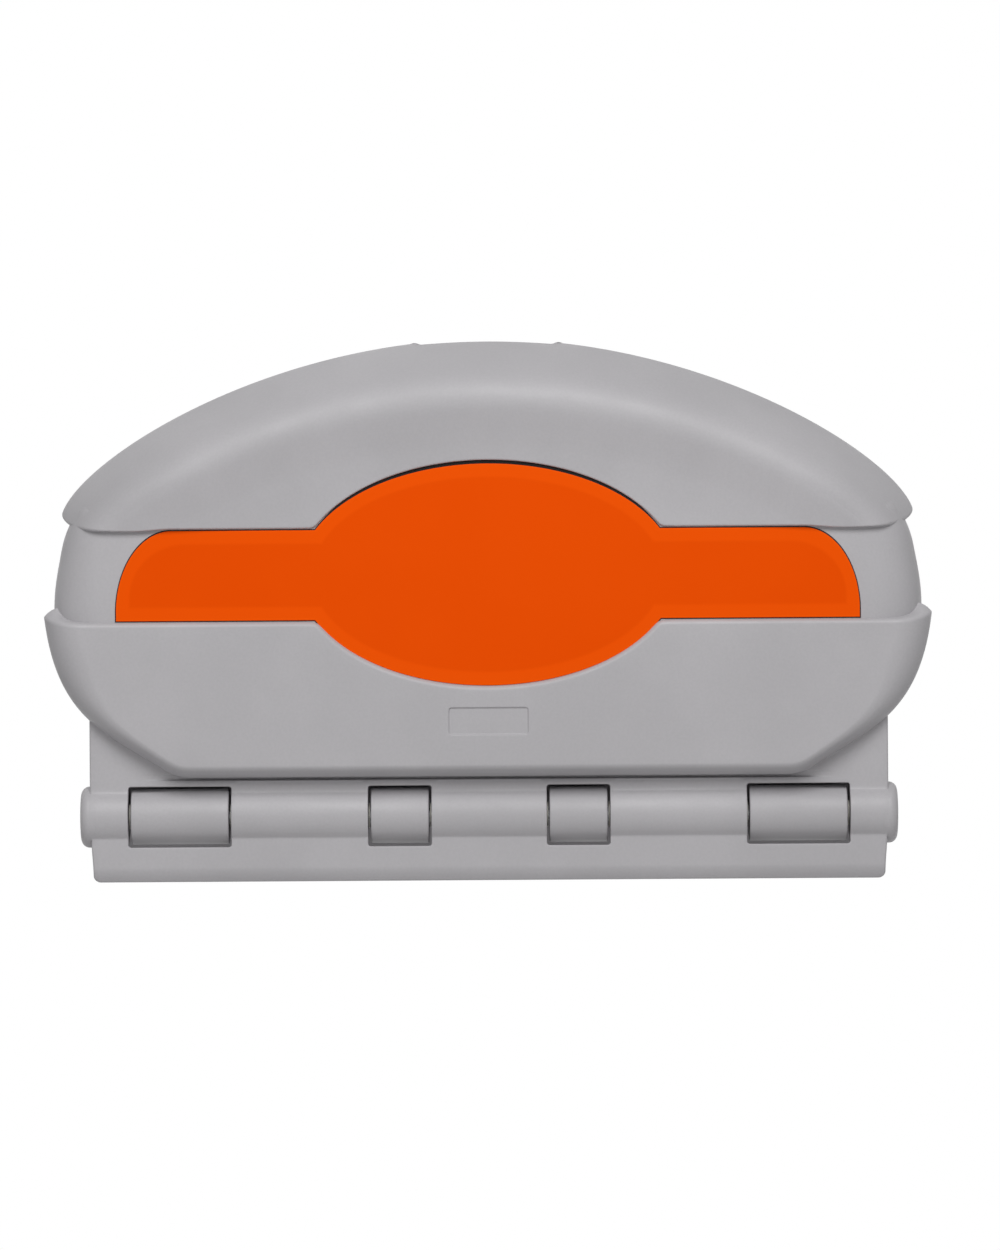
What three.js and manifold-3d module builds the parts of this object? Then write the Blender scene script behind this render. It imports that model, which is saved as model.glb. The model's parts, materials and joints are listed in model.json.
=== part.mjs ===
// A wall-mounted baby changing station, closed: a folding bed of two moulded shells, hinged along its
// foot to a wall housing, with a liner dispenser, safety strap, bag hooks and a concealed gas spring.
//
// Sizes are in millimetres. Every piece is drawn as it is seen on the wall: x to the right, y up from the
// hinge axis, z out of the wall towards the user. One group at the end turns that drawing to +Z up.

import * as THREE from "three";
import { mergeVertices } from "three/addons/utils/BufferGeometryUtils.js";
import Module from "manifold-3d";

const wasm = await Module();
wasm.setup();

// Driving sizes of the whole station
const hingeHeight = -210;
const hingeDepth = 80;
const fitGap = 0.3;
const cutOverrun = 5;
const shellWall = 4;

// Bed outline: the crown is the arched hood, the apron the basin-shaped foot, the belt lies between them
const crownTop = 493;
const crownHalfWidth = 443;
const crownTipHeight = 310;
const crownArchShares = [[0.934, 0.474], [0.447, 1]];
const crownBase = 60;
const crownEdgeHeight = 297;
const crownEdgeDepth = 135;
const crownEdgeSlope = 0.2;

const apronOverhang = 16.4;
const apronHalfWidth = crownHalfWidth + apronOverhang;
const apronShoulder = 208;
const apronTop = 300;
const apronBottom = 40.3;
const apronCornerRun = 109.4;
const apronCornerX = apronHalfWidth - apronCornerRun;
const apronCornerHeight = 54.2;
const apronBendRun = 48;
const apronBendX = apronCornerX - apronBendRun;
const apronBendShare = 0.42;
const apronSideShares = [[0.77, 0.25], [0.96, 0.71]];
const apronRimHeight = 200;
const apronRimSlope = 0.42;
const apronRimRise = 16;
const apronRimRun = 12.4;

const beltLedge = 10.4;
const beltHalfWidth = apronHalfWidth - beltLedge;
const beltTop = 440;
const beltBottom = 70;
const beltShares = [
  [0, 0], [0.78, 0.06], [0.953, 0.216], [0.993, 0.324], [1, 0.411],
  [0.989, 0.519], [0.964, 0.63], [0.891, 0.762], [0.668, 0.905], [0, 1],
];

// Levels of the bed, as distances out from the wall
const bedBack = 40;
const flangeThickness = 4;
const crownRidgeDepth = 137.5;
const beltFaceDepth = 123;
const apronFaceDepth = 128;
const stripFaceDepth = 100;
const plateFaceDepth = 103;

// Rounded edges: how far in from the outline and how far back they run, and the shares of both
const crownEdgeRun = 60;
const crownEdgeDrop = 75.5;
const crownEdgeShares = [
  [0, 1], [0.033, 0.861], [0.133, 0.675], [0.3, 0.477], [0.533, 0.272], [0.767, 0.113], [1, 0.007],
];
const crownCoveRun = 110;
const crownCoveDrop = 7.5;
const crownCoveShares = [[0.18, 0.13], [0.41, 0.67], [0.68, 0.93], [1, 1]];
const beltEdgeRun = 50;
const beltEdgeDrop = 39;
const beltEdgeShares = [[0, 1], [0.06, 0.667], [0.2, 0.359], [0.44, 0.128], [0.76, 0.015], [1, 0]];
const apronEdgeRun = 36;
const apronEdgeDrop = 31;
const apronEdgeShares = [[0, 1], [0.056, 0.71], [0.194, 0.419], [0.389, 0.194], [0.667, 0.048], [1, 0]];

// Hand grip cut in the crown's back edge
const gripHalfWidth = 65;
const gripDepth = 20;
const gripHeight = 26;

// Inset nameplate panel on the belt, in the recess that the crown and apron leave round it
const labelGap = 0.6;
const labelTopGap = 1.5;
const labelEllipseHeight = 248.8;
const labelEllipseHalfWidth = 194.5;
const labelEllipseHalfHeight = 114.3;
const labelEndGap = 14;
const labelEndRun = 58;
const labelEndFoot = 9;
const labelThickness = 0.9;
const labelMargin = 2;
const labelTop = crownEdgeHeight - labelTopGap;
const labelBottom = apronRimHeight + apronRimSlope * (apronFaceDepth - beltFaceDepth) + labelGap;
const labelHalfWidth = beltHalfWidth - beltEdgeRun - labelEndGap;

// Shallow blank inset low on the apron
const insetHalfWidth = 41.3;
const insetBottom = 82.8;
const insetHeight = 29.2;
const insetDepth = 1.6;

// Hinge: the bed's barrel turns on a fixed rod, and four fixed knuckles show in windows of the barrel
const barrelRadius = 31.7;
const barrelWall = 4;
const hingeBlockInset = 30;
const hingeBlockTop = 112;
const outerWindowInset = 93.1;
const outerWindowWidth = 106.7;
const innerWindowShare = 0.2888;
const innerWindowWidth = 65.6;
const windowRoom = 1.3;
const knuckleRadius = 29.3;
const knuckleGap = 2;
const rodRadius = 7;
const bushWall = 2.7;
const bushLength = 6.5;
const bushFlange = 3;
const plateBottom = 67.3;
const plateWall = 4.5;
const plateInset = 1.5;
const plateCorner = 9;
const plateReturn = 25;
const ribThickness = 3.5;
const capThickness = 9.8;
const capSpigot = 8;
const hingeBlockHalfWidth = crownHalfWidth - hingeBlockInset;
const outerWindowX = hingeBlockHalfWidth - outerWindowInset;
const innerWindowX = outerWindowX * innerWindowShare;
const windowHalfHeight = knuckleRadius + windowRoom;
const hingeFloor = windowHalfHeight;
const plateHalfWidth = hingeBlockHalfWidth - plateInset;
const bushRadius = rodRadius + fitGap + bushWall;

// Knuckle brackets
const armHalfHeight = 13;
const footTop = 58;
const footThickness = 6;
const footBoltDrop = 18;
const outerFootBoltX = 30;
const boltRadius = 4;
const boltHeadRadius = 8;
const boltHeadHeight = 5;
const boltHoleGap = 0.4;
const footBoltHeight = footTop - footBoltDrop;

// Wall housing
const housingDepth = 34;
const housingWall = 3.5;
const housingInset = 22;
const housingFoot = 6;
const housingTaper = 45;
const housingEdgeRun = 9;
const housingEdgeDrop = 9;
const housingEdgeShares = [[0, 1], [0.167, 0.444], [0.444, 0.133], [1, 0]];
const housingFootHalfWidth = crownHalfWidth - housingTaper;
const skinThickness = 3;
const skinMargin = 6;
const sleeveWall = 4;
const pocketRadius = 12;
const sleeveRadius = pocketRadius + sleeveWall;
const wallBoltRadius = 4.5;
const wallBoltHeadRadius = 8.5;
const wallBoltHeadHeight = 6;
const coverThickness = 2.4;

// Steel mounting frame on the wall, bolted through at the studs
const frameThickness = 3;
const frameSideGap = 18;
const frameBottom = -50;
const frameFootMargin = 4;
const frameTopDrop = 73;
const frameRailWidth = 50;
const studSpacing = 406.4;
const uprightWidth = 60;
const lowerBoltRise = 24;
const frameHalfWidth = housingFootHalfWidth - frameSideGap;
const frameRailTop = footTop + frameFootMargin;
const frameTop = crownTop - frameTopDrop;
const uprightX = studSpacing / 2;
const wallBoltHeights = [footTop + lowerBoltRise, frameTop - frameRailWidth / 2];

// Liner dispenser
const dispenserDrop = 72;
const slotHalfWidth = 85;
const slotHalfHeight = 17;
const refillLip = 14.8;
const refillHalfWidth = 140;
const refillHeight = 49.2;
const binSideMargin = 12;
const binFootMargin = 9;
const binTopMargin = 13;
const binDepth = 23;
const binWall = 2.4;
const refillTop = crownTop - housingInset - dispenserDrop;
const refillBottom = refillTop - refillHeight;
const slotHeight = refillBottom - refillLip - slotHalfHeight;
const binHalfWidth = refillHalfWidth + binSideMargin;

// Refill flap, its pin and its lock
const flapGap = 1;
const flapPinRadius = 1.5;
const flapPinOverhang = 7;
const flapKnuckleRadius = 3.4;
const flapPinSetback = 0.5;
const flapSideClearance = 0.6;
const lockDrop = 11;
const lockRadius = 8;
const lockKnob = 5;
const lockGripShare = 0.8;
const lockGripThickness = 3.2;
const lockShaftRadius = 3.4;
const lockCamReach = 6;
const lockCamThickness = 2.5;
const flapThickness = housingWall;
const flapPinHeight = refillBottom + flapKnuckleRadius + flapGap;
const flapPinInset = flapKnuckleRadius + flapPinSetback;
const lockHeight = refillTop - lockDrop;

// Small fittings on the housing
const hookX = 235;
const hookHeight = 330;
const hookWidth = 18;
const hookPlateHeight = 56;
const hookReach = 24;
const hookThickness = 5;
const bumperArchShare = 0.4;
const bumperInset = 42;
const bumperRadius = 10;
const bumperGap = 0.3;
const padHalfWidth = 45;
const padHeight = 20;
const padDrop = 2;
const padGap = 1;

// Bed tray
const basinSideRim = 76;
const basinTopRim = 57;
const basinFootRim = 35.4;
const basinRun = 46;
const basinDepth = 56;
const basinWall = 3.5;
const basinHalfWidth = crownHalfWidth - basinSideRim;
const basinLow = hingeFloor + basinFootRim;
const basinHigh = crownTop - basinTopRim;
const basinShares = [
  [0, 0], [0.777, 0], [0.921, 0.059], [0.992, 0.216], [1, 0.411],
  [0.946, 0.605], [0.812, 0.765], [0.559, 0.911], [0.305, 0.978], [0.109, 1], [0, 1],
];
const basinWallShares = [[0, 0], [0.043, 0.143], [0.174, 0.464], [0.391, 0.732], [0.696, 0.911], [1, 1]];

// Safety strap and cam buckle on the tray's floor
const strapWidth = 40;
const strapThickness = 1.8;
const anchorThickness = 3;
const anchorRadius = 4.5;
const anchorScrewHeight = 2.4;
const buckleHeight = 215;
const buckleHalfWidth = 27;
const buckleLength = 44;
const buckleThickness = 7;
const buckleWall = 4;
const leverLength = 26;
const leverThickness = 3.4;
const leverPinInset = 8;

// Gas spring in the bed's right wing, on a crank at the rod's end
const crankLength = 14;
const crankAngle = -Math.PI / 3;
const crankThickness = 6;
const crankHubRadius = 11;
const crankEndRadius = 5.5;
const crankPinRadius = 3;
const gasPivotBack = 8;
const gasPivotHeight = 150;
const gasCylinderRadius = 8.5;
const gasCylinderLength = 84;
const gasNeck = 14;
const gasRodRadius = 3.5;
const gasEyeThickness = 8;
const gasEyeRadius = 10.5;
const gasEyeHole = 7.4;
const gasTopEyeRadius = 7.5;
const gasPinRadius = 3.2;
const gasBracketThickness = 3;

// Steel channels that stiffen the bed
const barEndGap = 77;
const barHalfLength = basinHalfWidth - barEndGap;
const barWidth = 30;
const barDepth = 14;
const barWall = 2;
const lowerBarHeight = 130;
const upperBarHeight = 318;

// Number of straight pieces in each kind of curve
const archPieces = 15;
const sidePieces = 9;
const bendPieces = 3;
const beltPieces = 20;
const basinPieces = 22;
const ellipsePieces = 52;
const barrelSides = 30;
const roundSides = 18;
const pinSides = 14;

// Drawing helpers

const quarterTurn = Math.PI / 2;

function solid(geometry) {
  const bare = new THREE.BufferGeometry().setAttribute("position", geometry.getAttribute("position"));
  bare.setIndex(geometry.index);
  const merged = mergeVertices(bare, 1e-4);
  return new wasm.Manifold(
    new wasm.Mesh({
      numProp: 3,
      vertProperties: new Float32Array(merged.attributes.position.array),
      triVerts: new Uint32Array(merged.index.array),
    }),
  );
}

function geometryOf(manifold) {
  const mesh = manifold.getMesh();
  const positions = new Float32Array(mesh.numVert * 3);
  for (let i = 0; i < mesh.numVert; i++) {
    positions.set(mesh.vertProperties.subarray(i * mesh.numProp, i * mesh.numProp + 3), i * 3);
  }
  const geometry = new THREE.BufferGeometry();
  geometry.setAttribute("position", new THREE.BufferAttribute(positions, 3));
  geometry.setIndex(new THREE.BufferAttribute(new Uint32Array(mesh.triVerts), 1));
  return geometry;
}

// A box between two corners.
function box([x0, x1], [y0, y1], [z0, z1]) {
  const geometry = new THREE.BoxGeometry(x1 - x0, y1 - y0, z1 - z0);
  geometry.translate((x0 + x1) / 2, (y0 + y1) / 2, (z0 + z1) / 2);
  return solid(geometry);
}

// A cylinder between two places along one axis, whose centre line crosses the other two at the given point.
function cylinder(axis, [from, to], [u, v], radius, sides = roundSides) {
  const geometry = new THREE.CylinderGeometry(radius, radius, to - from, sides);
  if (axis === "x") {
    geometry.rotateZ(-quarterTurn);
    geometry.translate((from + to) / 2, u, v);
  }
  if (axis === "z") {
    geometry.rotateX(quarterTurn);
    geometry.translate(u, v, (from + to) / 2);
  }
  return solid(geometry);
}

// An outline in x and y, extruded from one depth to another.
function prism(points, [z0, z1]) {
  const shape = new THREE.Shape(points.map(([x, y]) => new THREE.Vector2(x, y)));
  const geometry = new THREE.ExtrudeGeometry(shape, { depth: z1 - z0, bevelEnabled: false });
  geometry.translate(0, 0, z0);
  return solid(geometry);
}

// An outline in depth and height, extruded along x.
function sideProfile(points, [x0, x1]) {
  const shape = new THREE.Shape(points.map(([z, y]) => new THREE.Vector2(-z, y)));
  const geometry = new THREE.ExtrudeGeometry(shape, { depth: x1 - x0, bevelEnabled: false });
  geometry.rotateY(quarterTurn);
  geometry.translate(x0, 0, 0);
  return solid(geometry);
}

// Both halves of an outline whose right half is given from one end on the middle line to the other.
function mirrored(half) {
  const left = half.map(([x, y]) => [-x, y]).reverse();
  return [...half, ...left].filter(([x, y], i, all) => {
    const [px, py] = all[(i + all.length - 1) % all.length];
    return Math.hypot(x - px, y - py) > 1e-6;
  });
}

// The outline moved inwards by a distance, each corner along its own bisector.
function inset(points, distance) {
  const count = points.length;
  return points.map(([x, y], i) => {
    const [ax, ay] = points[(i + count - 1) % count];
    const [bx, by] = points[(i + 1) % count];
    const before = new THREE.Vector2(x - ax, y - ay).normalize();
    const after = new THREE.Vector2(bx - x, by - y).normalize();
    const bisector = new THREE.Vector2(-before.y - after.y, before.x + after.x).normalize();
    const reach = distance / Math.max(bisector.dot(new THREE.Vector2(-after.y, after.x)), 0.5);
    return [x + bisector.x * reach, y + bisector.y * reach];
  });
}

// A solid skinned over rings of equal length, from the back ring to the front one. Rings run anticlockwise.
function loft(rings) {
  const count = rings[0].points.length;
  const positions = rings.flatMap((ring) => ring.points.flatMap(([x, y]) => [x, y, ring.z]));
  const faces = [];
  for (let r = 0; r < rings.length - 1; r++) {
    for (let i = 0; i < count; i++) {
      const a = r * count + i;
      const b = r * count + ((i + 1) % count);
      faces.push(a, b, a + count, b, b + count, a + count);
    }
  }
  const last = rings.length - 1;
  for (const [ring, outward] of [[0, false], [last, true]]) {
    const { points, z } = rings[ring];
    const middle = positions.length / 3;
    positions.push(
      points.reduce((sum, [x]) => sum + x, 0) / count,
      points.reduce((sum, [, y]) => sum + y, 0) / count,
      z,
    );
    for (let i = 0; i < count; i++) {
      const a = ring * count + i;
      const b = ring * count + ((i + 1) % count);
      faces.push(...(outward ? [a, b, middle] : [b, a, middle]));
    }
  }
  const geometry = new THREE.BufferGeometry();
  geometry.setAttribute("position", new THREE.Float32BufferAttribute(positions, 3));
  geometry.setIndex(faces);
  return solid(geometry);
}

// Rings of an outline with a rounded front edge. The hollow inside takes every second ring.
function roundedRings(points, back, face, [run, drop, shares], wall) {
  const kept = shares.filter((_, i) => wall === 0 || i % 2 === 0 || i === shares.length - 1);
  const rest = kept.map(([runShare, dropShare]) => ({
    points: inset(points, run * runShare + wall),
    z: face - drop * dropShare - wall,
  }));
  return [{ points: inset(points, wall), z: back }, ...rest];
}

// Points of a table of shares, set out on a width and between two heights.
function fromShares(shares, halfWidth, [low, high]) {
  return shares.map(([x, y]) => [x * halfWidth, low + y * (high - low)]);
}

// A half-space below a plane that rises towards the wall, as a large block to cut with.
function belowSlope(height, depth, slope) {
  const reach = 2 * crownTop;
  const profile = [
    [depth + reach, height - slope * reach],
    [depth - reach, height + slope * reach],
    [depth - reach, height - reach],
    [depth + reach, height - reach - slope * reach],
  ];
  return sideProfile(profile, [-reach, reach]);
}

function splinePoints(half, divisions) {
  const curve = new THREE.SplineCurve(half.map(([x, y]) => new THREE.Vector2(x, y)));
  return curve.getPoints(divisions).map((p) => [p.x, p.y]);
}

// Outlines

// The crown's arch is one cubic curve from the tip to the apex, closed by a base hidden behind the belt.
function crownArch() {
  const rise = crownTop - crownTipHeight;
  const handles = crownArchShares.map(([x, y]) => new THREE.Vector2(crownHalfWidth * x, crownTipHeight + rise * y));
  const tip = new THREE.Vector2(crownHalfWidth, crownTipHeight);
  return new THREE.CubicBezierCurve(tip, ...handles, new THREE.Vector2(0, crownTop));
}

function crownOutline() {
  return mirrored([[crownHalfWidth, crownBase], ...crownArch().getPoints(archPieces).map((p) => [p.x, p.y])]);
}

// The apron runs from its flat bottom through a soft bend and a curved side to its shoulder.
function apronOutline() {
  const corner = new THREE.Vector2(apronCornerX, apronCornerHeight);
  const handles = apronSideShares.map(([x, y]) => {
    const across = apronCornerX + (apronHalfWidth - apronCornerX) * x;
    return new THREE.Vector2(across, apronCornerHeight + (apronShoulder - apronCornerHeight) * y);
  });
  const side = new THREE.CubicBezierCurve(corner, ...handles, new THREE.Vector2(apronHalfWidth, apronShoulder));
  const bend = new THREE.QuadraticBezierCurve(
    new THREE.Vector2(apronBendX, apronBottom),
    new THREE.Vector2(apronBendX + (apronCornerX - apronBendX) * apronBendShare, apronBottom),
    corner,
  );
  const half = [
    [0, apronBottom],
    ...bend.getPoints(bendPieces).map((p) => [p.x, p.y]),
    ...side.getPoints(sidePieces).slice(1).map((p) => [p.x, p.y]),
    [apronHalfWidth, apronTop],
  ];
  return mirrored(half);
}

function ellipseOutline(halfWidth, halfHeight, centreY, count) {
  return Array.from({ length: count }, (_, i) => {
    const turn = (i / count) * 4 * quarterTurn;
    return [halfWidth * Math.cos(turn), centreY + halfHeight * Math.sin(turn)];
  });
}

// Solid forms of the bed. A wall of zero gives the outside, a wall thickness gives the hollow inside.

function crownForm(back, wall) {
  const outline = crownOutline();
  const rings = roundedRings(outline, back, crownRidgeDepth, [crownEdgeRun, crownEdgeDrop, crownEdgeShares], wall);
  const ridge = inset(outline, crownEdgeRun + wall);
  const ridgeBase = crownBase + crownEdgeRun + wall + fitGap;
  for (const [runShare, dropShare] of crownCoveShares) {
    rings.push({
      points: ridge.map(([x, y]) => [x, y > ridgeBase ? y - crownCoveRun * runShare : y]),
      z: crownRidgeDepth - crownCoveDrop * dropShare - wall,
    });
  }
  return loft(rings).subtract(belowSlope(crownEdgeHeight + wall, crownEdgeDepth, crownEdgeSlope));
}

function beltForm(back, wall) {
  const points = fromShares(beltShares, beltHalfWidth, [beltBottom, beltTop]);
  const outline = mirrored(splinePoints(points, beltPieces));
  return loft(roundedRings(outline, back, beltFaceDepth, [beltEdgeRun, beltEdgeDrop, beltEdgeShares], wall));
}

// The apron ends above in a rim plane that rises towards the wall, and in shoulders at both sides.
function apronForm(back, wall) {
  const edge = [apronEdgeRun, apronEdgeDrop, apronEdgeShares];
  const whole = loft(roundedRings(apronOutline(), back, apronFaceDepth, edge, wall));
  const shoulder = prism(
    mirrored([
      [0, 0],
      [apronHalfWidth + cutOverrun, 0],
      [apronHalfWidth + cutOverrun, apronShoulder - wall],
      [apronHalfWidth - wall, apronShoulder - wall],
      [apronHalfWidth - apronRimRun / 4 - wall, apronShoulder + apronRimRise / 2 - wall],
      [apronHalfWidth - apronRimRun - wall, apronShoulder + apronRimRise - wall],
      [0, apronShoulder + apronRimRise - wall],
    ]),
    [0, 2 * apronFaceDepth],
  );
  const rim = belowSlope(apronRimHeight - wall, apronFaceDepth, apronRimSlope);
  return whole.intersect(shoulder).intersect(rim);
}

function hingeBlock(back, wall) {
  return box(
    [wall - hingeBlockHalfWidth, hingeBlockHalfWidth - wall],
    [hingeFloor + wall, hingeBlockTop + wall],
    [back, stripFaceDepth - wall],
  );
}

function bedForm(back, wall) {
  const recess = prism(
    ellipseOutline(
      labelEllipseHalfWidth + labelMargin + wall,
      labelEllipseHalfHeight + labelMargin + wall,
      labelEllipseHeight,
      ellipsePieces,
    ),
    [beltFaceDepth - wall, 2 * beltFaceDepth],
  );
  const raised = crownForm(back, wall).add(apronForm(back, wall)).subtract(recess);
  return raised.add(beltForm(back, wall)).add(hingeBlock(back, wall));
}

// Windows in the barrel and the spans of barrel between them, from left to right
const windowSpan = (x, width) => [x - width / 2, x + width / 2];
const windows = [
  windowSpan(-outerWindowX, outerWindowWidth),
  windowSpan(-innerWindowX, innerWindowWidth),
  windowSpan(innerWindowX, innerWindowWidth),
  windowSpan(outerWindowX, outerWindowWidth),
];
const wingStart = windows.at(-1)[1];
const spanEdges = [-hingeBlockHalfWidth, ...windows.flat(), hingeBlockHalfWidth];
const barrelSpans = spanEdges.flatMap((x, i) => (i % 2 === 0 ? [[x, spanEdges[i + 1]]] : []));

// Bed pieces

function bedOuterShell() {
  const back = bedBack + flangeThickness + fitGap;
  let shell = bedForm(back, 0).subtract(bedForm(back - cutOverrun, shellWall));

  const plate = sideProfile(
    [
      [plateFaceDepth, -plateCorner],
      [plateFaceDepth - plateWall, -plateCorner],
      [plateFaceDepth - plateWall, plateCorner - plateBottom],
      [plateFaceDepth - plateCorner, plateWall - plateBottom],
      [plateFaceDepth - plateReturn, plateWall - plateBottom],
      [plateFaceDepth - plateReturn, -plateBottom],
      [plateFaceDepth - plateCorner, -plateBottom],
      [plateFaceDepth - plateCorner * 0.29, plateCorner * 0.29 - plateBottom],
      [plateFaceDepth, plateCorner - plateBottom],
    ],
    [-plateHalfWidth, plateHalfWidth],
  );
  shell = shell.add(plate);

  for (const [x0, x1] of barrelSpans) {
    shell = shell.add(cylinder("x", [x0, x1], [0, hingeDepth], barrelRadius, barrelSides));
    const web = [hingeDepth - barrelRadius / 3, stripFaceDepth];
    shell = shell.add(box([x0, x1], [barrelRadius / 2, hingeFloor + shellWall], web));
    for (const rib of [[x0, x0 + ribThickness], [x1 - ribThickness, x1]]) {
      const inside = [Math.max(rib[0], -plateHalfWidth), Math.min(rib[1], plateHalfWidth)];
      const foot = [plateFaceDepth - plateReturn, plateFaceDepth - plateWall / 2];
      shell = shell.add(box(inside, [plateWall / 2 - plateBottom, -barrelRadius / 2], foot));
    }
  }

  // Windows for the knuckles, with room behind the plate for their arms to swing
  for (const [x0, x1] of windows) {
    shell = shell.subtract(box([x0, x1], [-windowHalfHeight, windowHalfHeight], [0, 2 * hingeDepth]));
    const armRoom = [hingeDepth - armHalfHeight - knuckleGap, hingeDepth + armHalfHeight + knuckleGap];
    shell = shell.subtract(box([x0, x1], [-plateBottom - cutOverrun, -windowHalfHeight], armRoom));
  }

  // Rod bore, hollow barrel ends and the gas spring's slot
  const reach = hingeBlockHalfWidth + cutOverrun;
  shell = shell.subtract(cylinder("x", [-reach, reach], [0, hingeDepth], bushRadius + fitGap));
  for (const side of [-1, 1]) {
    const span = [side * (wingStart + ribThickness * 2), side * reach].sort((a, b) => a - b);
    const hollow = cylinder("x", span, [0, hingeDepth], barrelRadius - barrelWall, barrelSides);
    shell = shell.subtract(hollow);
  }
  shell = shell.subtract(
    box(
      [gasEyeX - gasEyeThickness / 2 - knuckleGap, gasEyeX + gasEyeThickness / 2 + knuckleGap],
      [0, hingeFloor + shellWall + cutOverrun],
      [hingeDepth - gasRodRadius, hingeDepth + barrelRadius / 2],
    ),
  );

  // Hand grip with its own pocket walls, and the blank inset
  const pocket = gripCutter(shellWall).intersect(bedForm(back, 0));
  shell = shell.add(pocket).subtract(gripCutter(0));
  return shell.subtract(
    box(
      [-insetHalfWidth, insetHalfWidth],
      [insetBottom, insetBottom + insetHeight],
      [apronFaceDepth - insetDepth, apronFaceDepth + cutOverrun],
    ),
  );
}

// The grip is a scoop with sloped ends in the back edge of the crown.
function gripCutter(wall) {
  const bottom = crownTop - gripHeight - wall;
  const half = gripHalfWidth + wall;
  const outline = [
    [-half, bottom],
    [half, bottom],
    [half + gripHeight / 2, crownTop + cutOverrun],
    [-half - gripHeight / 2, crownTop + cutOverrun],
  ];
  return prism(outline, [0, bedBack + gripDepth + wall]);
}

function basinRings(extra) {
  const points = fromShares(basinShares, basinHalfWidth, [basinLow, basinHigh]);
  const outline = mirrored(splinePoints(points, basinPieces));
  const start = extra ? [] : [{ points: inset(outline, -extra), z: bedBack - cutOverrun }];
  return [
    ...start,
    ...basinWallShares.slice(extra ? 0 : 1).map(([runShare, depthShare]) => ({
      points: inset(outline, basinRun * runShare - extra),
      z: bedBack + basinDepth * depthShare + extra,
    })),
  ];
}

function bedTray() {
  const slab = box([-2 * crownHalfWidth, 2 * crownHalfWidth], [0, 2 * crownTop], [bedBack, bedBack + flangeThickness]);
  const flange = bedForm(bedBack, 0).intersect(slab);
  return flange
    .subtract(gripCutter(0))
    .add(loft(basinRings(basinWall)))
    .subtract(loft(basinRings(0)));
}

// The label panel is an ellipse with a belt whose ends are quarter ellipses.
function labelOutline(shrink) {
  const half = [];
  const across = labelEllipseHalfWidth - shrink;
  const up = labelEllipseHalfHeight - shrink;
  const meet = (y) => Math.acos(Math.min(1, Math.abs(y - labelEllipseHeight) / up));
  const steps = sidePieces;
  for (let i = 0; i <= steps; i++) {
    const turn = (i / steps) * meet(labelBottom + shrink);
    half.push([across * Math.sin(turn), labelEllipseHeight - up * Math.cos(turn)]);
  }
  const endHeight = labelTop - labelBottom - labelEndFoot - 2 * shrink;
  for (let i = 0; i <= steps; i++) {
    const turn = (i / steps) * quarterTurn;
    half.push([
      labelHalfWidth - shrink - labelEndRun + labelEndRun * Math.cos(turn),
      i === 0 ? labelBottom + shrink : labelBottom + shrink + labelEndFoot + endHeight * Math.sin(turn),
    ]);
  }
  for (let i = steps; i >= 0; i--) {
    const turn = (i / steps) * meet(labelTop - shrink);
    half.push([across * Math.sin(turn), labelEllipseHeight + up * Math.cos(turn)]);
  }
  return mirrored(half);
}

function frontLabel() {
  const back = beltFaceDepth + fitGap;
  return prism(labelOutline(0), [back, back + labelThickness]);
}

// A cap that closes one end of the barrel, with a domed outside and a spigot inside.
function barrelEndCap() {
  const spigot = barrelRadius - barrelWall - fitGap;
  const profile = [
    [0, -capSpigot], [spigot, -capSpigot], [spigot, 0], [barrelRadius, 0], [barrelRadius, capThickness * 0.3],
    [barrelRadius * 0.93, capThickness * 0.7], [barrelRadius * 0.76, capThickness * 0.95], [0, capThickness],
  ];
  const geometry = new THREE.LatheGeometry(profile.map(([r, h]) => new THREE.Vector2(r, h)), barrelSides);
  return solid(geometry);
}

function hingeBush() {
  const flange = knuckleGap - 2 * fitGap;
  const bore = rodRadius + fitGap;
  const rim = bushRadius + bushFlange;
  const profile = [
    [bore, -bushLength], [bushRadius, -bushLength], [bushRadius, fitGap], [rim, fitGap],
    [rim, fitGap + flange], [bore, fitGap + flange], [bore, -bushLength],
  ];
  return solid(new THREE.LatheGeometry(profile.map(([r, h]) => new THREE.Vector2(r, h)), roundSides));
}

function stiffenerBar() {
  const half = barWidth / 2;
  const outer = box([-barHalfLength, barHalfLength], [-half, half], [0, barDepth]);
  const groove = box(
    [-barHalfLength - cutOverrun, barHalfLength + cutOverrun],
    [barWall - half, half - barWall],
    [barWall, barDepth + cutOverrun],
  );
  return outer.subtract(groove);
}

// Strap, anchors and buckle lie on the basin floor and its two long walls

const floorDepth = bedBack + basinDepth;

// Points down one long wall of the basin and out on its floor, kept a given distance off the moulding.
function wallPath(edge, inward, off) {
  const wall = basinWallShares.map(([runShare, depthShare]) => {
    return new THREE.Vector2(bedBack + basinDepth * depthShare, edge + inward * basinRun * runShare);
  });
  const path = wall.map((point, i) => {
    const before = wall[Math.max(i - 1, 0)];
    const after = wall[Math.min(i + 1, wall.length - 1)];
    const along = after.clone().sub(before).normalize();
    return [point.x - Math.abs(along.y) * off, point.y + inward * along.x * off];
  });
  return path.slice(1);
}

// A band of even thickness along a path in depth and height.
function ribbon(path, thickness, width) {
  const side = (offset) =>
    path.map(([z, y], i) => {
      const [az, ay] = path[Math.max(i - 1, 0)];
      const [bz, by] = path[Math.min(i + 1, path.length - 1)];
      const along = new THREE.Vector2(bz - az, by - ay).normalize();
      return [z - along.y * offset, y + along.x * offset];
    });
  const outline = [...side(thickness / 2), ...side(-thickness / 2).reverse()];
  return sideProfile(outline, [-width / 2, width / 2]);
}

const strapOff = fitGap + strapThickness / 2;
const strapLevel = floorDepth - strapOff;
const buckleBottom = buckleHeight - buckleLength / 2;
const buckleTop = buckleHeight + buckleLength / 2;

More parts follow.
